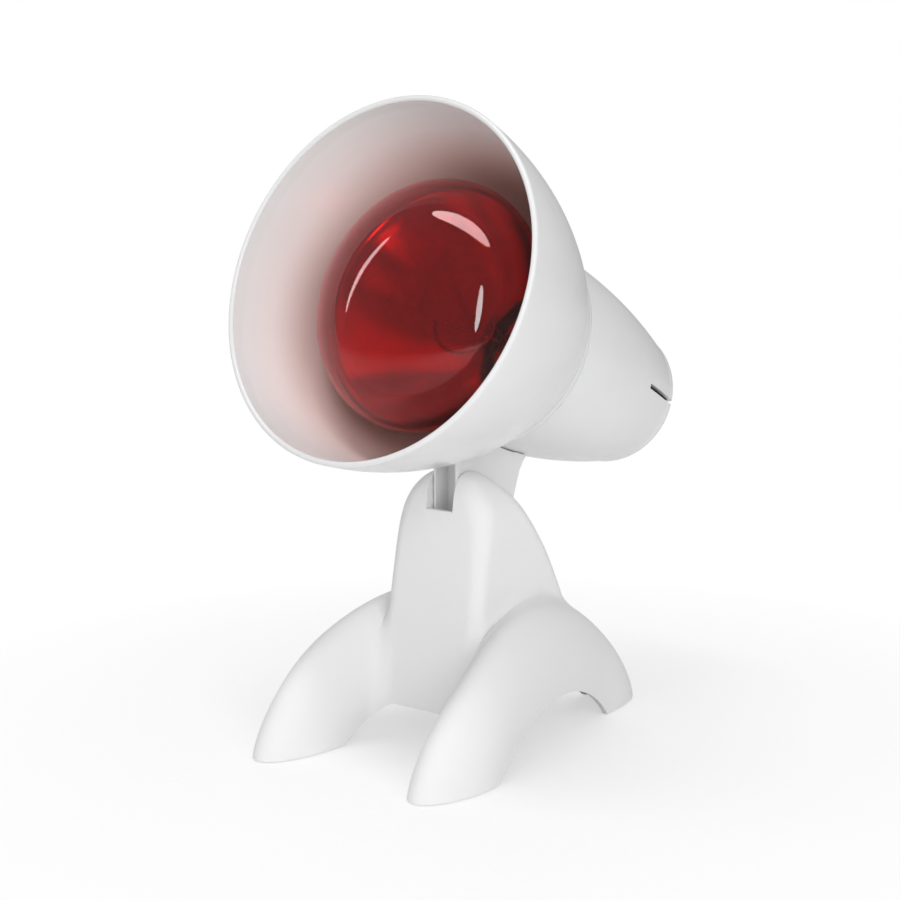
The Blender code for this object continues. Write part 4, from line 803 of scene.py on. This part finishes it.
# %% Legs
leg_reach, leg_height, leg_half = 0.0807, 0.0536, 0.0124
crown_along_power, crown_up_power = 1.08, 1.40
middle_reach, middle_height = 0.0504, 0.0200
edge_reach, edge_rise, edge_up_power, edge_lean = 0.0475, 0.0194, 1.70, 0.10
front_spread, rear_spread, spread_run, soft_share = 0.0370, 0.0183, 0.1000, 0.10


def leg_centre(y):
    """The legs draw together to the rear. Soft bends, two centimetres long, lead into straight ends."""
    share = (y + spread_run / 2) / spread_run
    if share < soft_share:
        share = max(share + soft_share, 0.0) ** 2 / (4 * soft_share)
    elif share > 1 - soft_share:
        share = 1 - max(1 + soft_share - share, 0.0) ** 2 / (4 * soft_share)
    return front_spread + (rear_spread - front_spread) * share


def arch_point(angle, reach, height, along_power=1.0, up_power=1.0):
    """A point (y, z) on a half ellipse from the front foot to the rear one, reshaped by two powers."""
    across, up = math.cos(angle), abs(math.sin(angle))
    return Vector((-reach * math.copysign(abs(across) ** along_power, across), height * up ** up_power))


def edge_point(angle, lower):
    """The lower edge of a leg, which leans up to the rear."""
    point = arch_point(angle, edge_reach - lower, edge_rise - lower, 1.0, edge_up_power)
    point.y *= 1 - edge_lean * math.cos(angle)
    return point


def leg(name, side, inset=0.0, lower=0.0, steps=120, points=40):
    """One leg, or its hollow if it is drawn in by an inset, with its lower edge moved down."""
    rings = []
    half = leg_half - inset
    for k in range(steps + 1):
        angle = math.pi * k / steps
        crown = arch_point(angle, leg_reach - inset, leg_height - inset, crown_along_power, crown_up_power)
        middle = arch_point(angle, middle_reach, middle_height)
        edge = edge_point(angle, lower)
        section = [(half, edge)]
        for j in range(points + 1):
            sweep = math.pi * j / points
            section.append((half * math.cos(sweep), middle + (crown - middle) * math.sin(sweep)))
        section.append((-half, edge))
        rings.append([(side * (leg_centre(p.x) + x), stand_shift + p.x, p.y) for x, p in section])
    first_ring = [(x, y, z - overrun) for x, y, z in rings[0]]
    last_ring = [(x, y, z - overrun) for x, y, z in rings[-1]]
    return lofted(name, [first_ring] + rings + [last_ring])


leg_bodies = [leg("leg_body", side, lower=0.005) for side in (-1, 1)]
print("leg vertices:", [len(body.data.vertices) for body in leg_bodies])

# %% [markdown]
# ## The stand in one piece
#
# On the real moulding nothing meets at a sharp inner corner, so column and legs are flowed together
# before anything is cut. The round is generous in front, where the column runs out into the legs, and
# tight behind, where the photograph shows a crisp corner. A few rounds of smoothing take out the steps
# that the even faces leave.

# %% Column and legs flowed together
front_round, rear_round = 0.0070, 0.0035
round_change_start, round_change_end = 0.006, 0.030
stand_grid, stand_rounds = 0.0009, 4
relax_rounds, relax_factor = 3, 0.4


def eased(value, low, high):
    """Go softly from 0 at the low value to 1 at the high one."""
    share = min(max((value - low) / (high - low), 0.0), 1.0)
    return share * share * (3 - 2 * share)


def round_at(spot):
    behind = eased(spot.y - stand_shift, round_change_start, round_change_end)
    return front_round - (front_round - rear_round) * behind


def relax(piece, rounds, factor):
    step = piece.modifiers.new("Relax", "SMOOTH")
    step.factor, step.iterations = factor, rounds
    return baked(piece)


stand = copied(column_body, "stand_moulding")
boolean(stand, [copied(body, "leg") for body in leg_bodies], "UNION")
even_faces(stand, stand_grid)
flow_together(stand, [column_body, *leg_bodies], round_at, stand_rounds)
relax(stand, relax_rounds, relax_factor)
print("stand vertices before the cuts:", len(stand.data.vertices))

# %% [markdown]
# ## The underside
#
# Seen from below the moulding ends in one rippling edge: level under the column, running down into the
# legs in front, and arched along their outer walls. The inner walls are cut away further to the rear,
# so that the arch is clear right through. A block with that relief as its upper face trims everything
# in one cut.

# %% Height of the lower edge
rear_edge_reach = 0.0648
column_skin = 0.0004
level_reach, run_down_reach = 0.0130, 0.0215
rear_before, rear_behind = 0.0010, 0.0030
below_table = -0.010


def arch_height(y, arch_reach):
    """Height of the lower edge at one place along the arch."""
    share = y / arch_reach
    if abs(share) >= 1.0:
        return below_table
    return edge_rise * (1 - share * share) ** (edge_up_power / 2) * (1 + edge_lean * share)


def underside(x, y):
    """Height of the lower edge anywhere under the stand."""
    across = abs(x)
    in_length = -column_front < y < column_back
    if across > leg_centre(y) and not (in_length and across < column_half + column_skin):
        return arch_height(y, edge_reach)
    edge_height = arch_height(y, rear_edge_reach if y > 0 else edge_reach)
    beside_leg = eased(across, level_reach, run_down_reach)
    beside_leg *= 1 - eased(y, -column_front, wall - column_front)
    under_column = (1 - beside_leg) * (1 - eased(y, column_back - rear_before, column_back + rear_behind))
    return edge_height + (column_bottom - edge_height) * under_column


print("edge under the column and on a leg:", rounded([underside(0.0, 0.0), underside(0.04, 0.0)]))


# %% Trim the underside
def relief_block(name, columns, rows, height_at, bottom):
    """A block whose upper face is a relief over a grid of places."""
    across, along = len(columns), len(rows)
    vertices = [(x, stand_shift + y, height_at(x, y)) for y in rows for x in columns]
    vertices += [(x, stand_shift + y, bottom) for y in rows for x in columns]
    faces = []
    for j in range(along - 1):
        for i in range(across - 1):
            first = j * across + i
            quad = (first, first + 1, first + 1 + across, first + across)
            faces.append(quad)
            faces.append(tuple(v + across * along for v in reversed(quad)))
    rim = list(range(across)) + [j * across + across - 1 for j in range(1, along)]
    rim += [(along - 1) * across + i for i in range(across - 2, -1, -1)]
    rim += [j * across for j in range(along - 2, 0, -1)]
    for first, second in zip(rim, rim[1:] + rim[:1]):
        faces.append((second, first, first + across * along, second + across * along))
    return tidy_normals(new_object(name, vertices, faces))


trim_step, trim_side, trim_front, trim_rear, trim_bottom = 0.001, 0.0605, -0.052, 0.070, -0.012
bend_steps = 90
bends = [math.pi * k / bend_steps for k in range(bend_steps + 1)]
row_places = [-edge_reach * math.cos(a) for a in bends] + [rear_edge_reach * math.sin(a / 2) for a in bends]
row_places += list(np.linspace(-0.034, -0.026, 12)) + list(np.linspace(0.040, 0.048, 12))
row_places += [trim_front, trim_rear]
row_places = sorted(set(round(y, 5) for y in row_places))
column_places = [trim_step * k - trim_side for k in range(122)]
trim = relief_block("trim", column_places, row_places, underside, trim_bottom)
boolean(stand, [trim], solver="MANIFOLD")
print("stand vertices after the trim:", len(stand.data.vertices))

# %% [markdown]
# ## Hollows of the stand
#
# The moulding is hollow: a box inside the column, and an open channel under each leg with a short floor
# in each toe. What has to stay solid is first taken out of the hollow: the walls of the neck's pocket,
# the boss of the bolt's well and the four posts of the bottom cover. Each cut keeps the same walls as
# the solid, so the pieces inside still fit. The moulding is closed, so its cuts can use the manifold
# solver, which is quick and keeps a mesh of this density closed.

# %% Hollow of the column
slot_half = neck_half + 0.0005
cheek = slot_half + wall
pocket_radius = lug + 0.0017
beyond = 0.0940
well_radius, well_boss = 0.0054, 0.0068
cover_recess, cover_thickness = 0.0012, 0.0020
cover_post, cover_post_length, cover_post_inset, cover_post_share = 0.0032, 0.0110, 0.0044, 0.46
cover_seat = column_bottom + cover_recess + cover_thickness + gap
post_rows = (cover_post_inset + wall - column_front, column_back - wall - cover_post_inset)
cover_posts = [(side * column_half * cover_post_share, stand_shift + y)
               for y in post_rows for side in (-1, 1)]
hollow = column("hollow", inset=wall, drop=0.012, count=60, points=8)
kept = [block("pocket_block", (-cheek, stand_shift - column_front, pivot.z - pocket_radius - wall),
              (cheek, stand_shift + beyond, column_top + overrun)),
        peg("well_block", well_boss, pivot - Vector((column_half, 0, 0)), pivot)]
kept += [peg("post", cover_post, (x, y, cover_seat), (x, y, cover_seat + cover_post_length))
         for x, y in cover_posts]
boolean(hollow, kept, solver="MANIFOLD")
print("column hollow vertices:", len(hollow.data.vertices))

# %% Hollows of the legs
sole_start, sole_top, far_below = 0.0655, 0.0030, -0.020
leg_hollows = []
for side in (-1, 1):
    tunnel = leg("tunnel", side, inset=wall, lower=0.006, steps=60, points=20)
    toes = [block("toe", (-beyond, stand_shift + sole_start, far_below), (beyond, 2 * beyond, sole_top)),
            block("toe", (-beyond, -2 * beyond, far_below), (beyond, stand_shift - sole_start, sole_top))]
    leg_hollows.append(boolean(tunnel, toes + [copied(column_body, "column")], solver="MANIFOLD"))
print("leg hollow vertices:", [len(piece.data.vertices) for piece in leg_hollows])

# %% [markdown]
# ## Slot, well and seats
#
# The neck swings in a slot with a round pocket at its foot. The bolt comes through a well from the left,
# two shallow seats hold the friction washers, four hold the pads, and the cover's posts are drilled.
# The soles are cut level a little above the table, where only the pads touch it.

# %% Cuts of the stand
slot_floor, rear_slot_lead, bore_past_cheek = 0.0893, 0.0005, 0.002
washer_seat, washer_thickness = 0.0083, 0.0007
pad_reach, pad_seat, pad_seat_top, sole_height = 0.0715, 0.0045, 0.0017, 0.0005
post_bore, post_bore_length = 0.0017, 0.0078
to_slot, to_cheek, to_left = Vector((slot_half, 0, 0)), Vector((cheek, 0, 0)), Vector((beyond, 0, 0))
cuts = [hollow, *leg_hollows,
        block("slot", (-slot_half, stand_shift - column_front - overrun, slot_floor),
              (slot_half, stand_shift + beyond, column_top + overrun)),
        block("rear_slot", (-slot_half, pivot.y + rear_slot_lead, pivot.z - pocket_radius),
              (slot_half, stand_shift + beyond, slot_floor + overrun)),
        peg("pocket", pocket_radius, pivot - to_slot, pivot + to_slot, 96),
        block("table", (-beyond, -2 * beyond, far_below), (beyond, 2 * beyond, sole_height)),
        peg("well", well_radius, pivot - to_left, pivot - to_cheek),
        peg("bolt_bore", bolt_hole, pivot - Vector((cheek + overrun, 0, 0)),
            pivot + Vector((cheek + bore_past_cheek, 0, 0)))]
seat_reach = neck_half + washer_thickness + 2 * gap
cuts += [peg("washer_seat", washer_seat, pivot, pivot + Vector((side * seat_reach, 0, 0)))
         for side in (-1, 1)]
pad_spots = [(side * leg_centre(y), stand_shift + y) for y in (-pad_reach, pad_reach) for side in (-1, 1)]
cuts += [peg("pad_seat", pad_seat, (x, y, -overrun), (x, y, pad_seat_top)) for x, y in pad_spots]
bore_low, bore_high = cover_seat - overrun, cover_seat + post_bore_length
cuts += [peg("post_bore", post_bore, (x, y, bore_low), (x, y, bore_high), 20) for x, y in cover_posts]
boolean(stand, cuts, solver="MANIFOLD")
for guide in (column_body, *leg_bodies):
    bpy.data.objects.remove(guide)
stand.data.materials.append(white_shell)
smooth_shade(stand, 40.0)
place(stand, "stand_body", ("stand",))
print("stand faces:", len(stand.data.polygons))

# %% [markdown]
# ## The pieces that keep their solids
#
# Screws, washers, pads, the lampholder and the bulb's inner parts are simple turned or bent pieces, and
# most are hidden. They keep the engineering solids, shaded smooth where they are round, each with its
# own finish. Whatever isn't named here is a steel screw, bolt or bracket.

# %% Finishes for the small pieces
finish_of = {"base_cover": white_cover, "cord_gland": pale_rubber, "bulb_cap": nickel,
             "cap_contact": nickel, "support_wire_left": nickel, "support_wire_right": nickel,
             "cap_insulator": black_glass, "bulb_stem": clear_glass, "filament": tungsten,
             "lampholder_body": porcelain, "lampholder_shell": brass, "centre_contact": brass,
             "terminal_upper": brass, "terminal_lower": brass, "lead_wire_upper": brown_sleeve,
             "lead_wire_lower": blue_sleeve, "friction_washer_left": nylon,
             "friction_washer_right": nylon}
for name, node in nodes.items():
    if node.hide_render:
        continue
    finish = rubber if name.startswith("foot_pad") else finish_of.get(name, steel)
    node.data.materials.clear()
    node.data.materials.append(finish)
    smooth_shade(node)
print("small pieces shown:", sum(not node.hide_render for node in nodes.values()))

# %% [markdown]
# ## Table and backdrop
#
# The picture is a product shot on pure white. The table is a pale sheet that runs on into the backdrop.
# Close to the lamp it takes a soft shadow, and further out it glows to the same white as the
# background. The glow is for the camera only, so it adds no light to the lamp.

# %% Table
floor_size, table_roughness = 3.0, 0.9
near_glow, far_glow, glow_start, glow_full = 0.55, 1.0, 0.08, 0.26
floor = new_object("table", [(-floor_size, -floor_size, 0.0), (floor_size, -floor_size, 0.0),
                             (floor_size, floor_size, 0.0), (-floor_size, floor_size, 0.0)],
                   [(0, 1, 2, 3)])
table, tree, shader, where = new_finish("table_sheet")
grain = noise(tree, where, scale=400.0, detail=4.0)
paper = ramp(tree, grain, [(0.3, (0.93, 0.93, 0.93)), (0.7, (0.96, 0.96, 0.96))])
tree.links.new(paper, shader.inputs["Base Color"])
shader.inputs["Roughness"].default_value = table_roughness
table.cycles.emission_sampling = "NONE"
floor.data.materials.append(table)
print("table:", 2 * floor_size, "metres wide")

# %% Glow of the far table
glow = tree.nodes.new("ShaderNodeEmission")
glow.inputs["Strength"].default_value = 1.0
distance = tree.nodes.new("ShaderNodeVectorMath")
distance.operation = "LENGTH"
tree.links.new(where.outputs["Object"], distance.inputs[0])
fade = spread(tree, distance.outputs["Value"], near_glow, far_glow, glow_start, glow_full)
seen = tree.nodes.new("ShaderNodeLightPath")
share = tree.nodes.new("ShaderNodeMath")
share.operation = "MULTIPLY"
tree.links.new(fade, share.inputs[0])
tree.links.new(seen.outputs["Is Camera Ray"], share.inputs[1])
mix = tree.nodes.new("ShaderNodeMixShader")
tree.links.new(share.outputs["Value"], mix.inputs["Fac"])
tree.links.new(shader.outputs["BSDF"], mix.inputs[1])
tree.links.new(glow.outputs["Emission"], mix.inputs[2])
tree.links.new(mix.outputs["Shader"], tree.nodes["Material Output"].inputs["Surface"])
print("glow grows from", glow_start, "to", glow_full, "metres off the middle")

# %% Backdrop
room_level = 0.40
world = bpy.data.worlds.new("studio")
bpy.context.scene.world = world
world.use_nodes = True
tree = world.node_tree
backdrop = tree.nodes["Background"]
seen = tree.nodes.new("ShaderNodeLightPath")
level = spread(tree, seen.outputs["Is Camera Ray"], room_level, 1.0, 0.0, 1.0)
tree.links.new(level, backdrop.inputs["Strength"])
backdrop.inputs["Color"].default_value = (1.0, 1.0, 1.0, 1.0)
print("room light level:", room_level)

# %% [markdown]
# ## Light and camera
#
# A broad soft box on the right and a low one ahead look into the hood's mouth, and a third lifts the
# back. They are left out of reflections, as a tent of cloth is. A tall strip draws the line on the
# column's corner, a long one above draws the crescent on the bulb and the soft crowns of the legs, and
# a thin one stands on the left. Each row of the list gives a lamp's name, its place, its width and
# height in metres, and its power in watts. The camera looks from the photograph's angle.

# %% Lamps
aim_at = Vector((0.0, 0.0, 0.12))


def soft_box(name, position, width, height, power):
    light = bpy.data.lights.new(name, "AREA")
    light.shape, light.size, light.size_y, light.energy = "ELLIPSE", width, height, power
    lamp = bpy.data.objects.new(name, light)
    bpy.context.scene.collection.objects.link(lamp)
    lamp.location = position
    lamp.rotation_euler = (aim_at - Vector(position)).to_track_quat("-Z", "Y").to_euler()
    return lamp


soft_boxes = [("tent", (1.25, -0.72, 0.62), 1.0, 1.0, 7.8),
              ("rear_tent", (-0.9, 1.1, 0.9), 1.0, 1.0, 4.0),
              ("low_tent", (0.30, -1.50, 0.15), 0.8, 0.5, 0.8),
              ("key", (0.72, -1.05, 0.62), 0.13, 0.75, 3.0),
              ("top", (-0.05, -0.35, 1.40), 1.1, 0.24, 5.5),
              ("left", (-1.15, -0.55, 0.75), 0.07, 0.8, 0.9)]
lamps = {row[0]: soft_box(*row) for row in soft_boxes}
for name in ("tent", "rear_tent", "low_tent"):
    lamps[name].visible_glossy = False
    lamps[name].visible_transmission = False
lamps["key"].visible_transmission = False
print("lamps:", len(lamps), "with", round(sum(row[-1] for row in soft_boxes), 1), "watts")

# %% Camera
camera_azimuth, camera_elevation = 38.34, 9.19
camera_data = bpy.data.cameras.new("camera")
camera_data.lens, camera_data.sensor_width = 76.0, 36.0
camera_data.clip_start, camera_data.clip_end = 0.01, 20.0
camera = bpy.data.objects.new("camera", camera_data)
bpy.context.scene.collection.objects.link(camera)
camera.location = (0.4340, stand_shift - 0.5623, 0.2245)
camera.rotation_euler = (math.radians(90.0 - camera_elevation), 0.0, math.radians(camera_azimuth))
bpy.context.scene.camera = camera
bpy.context.scene.view_settings.view_transform = "Standard"
print("camera at", rounded(camera.location))
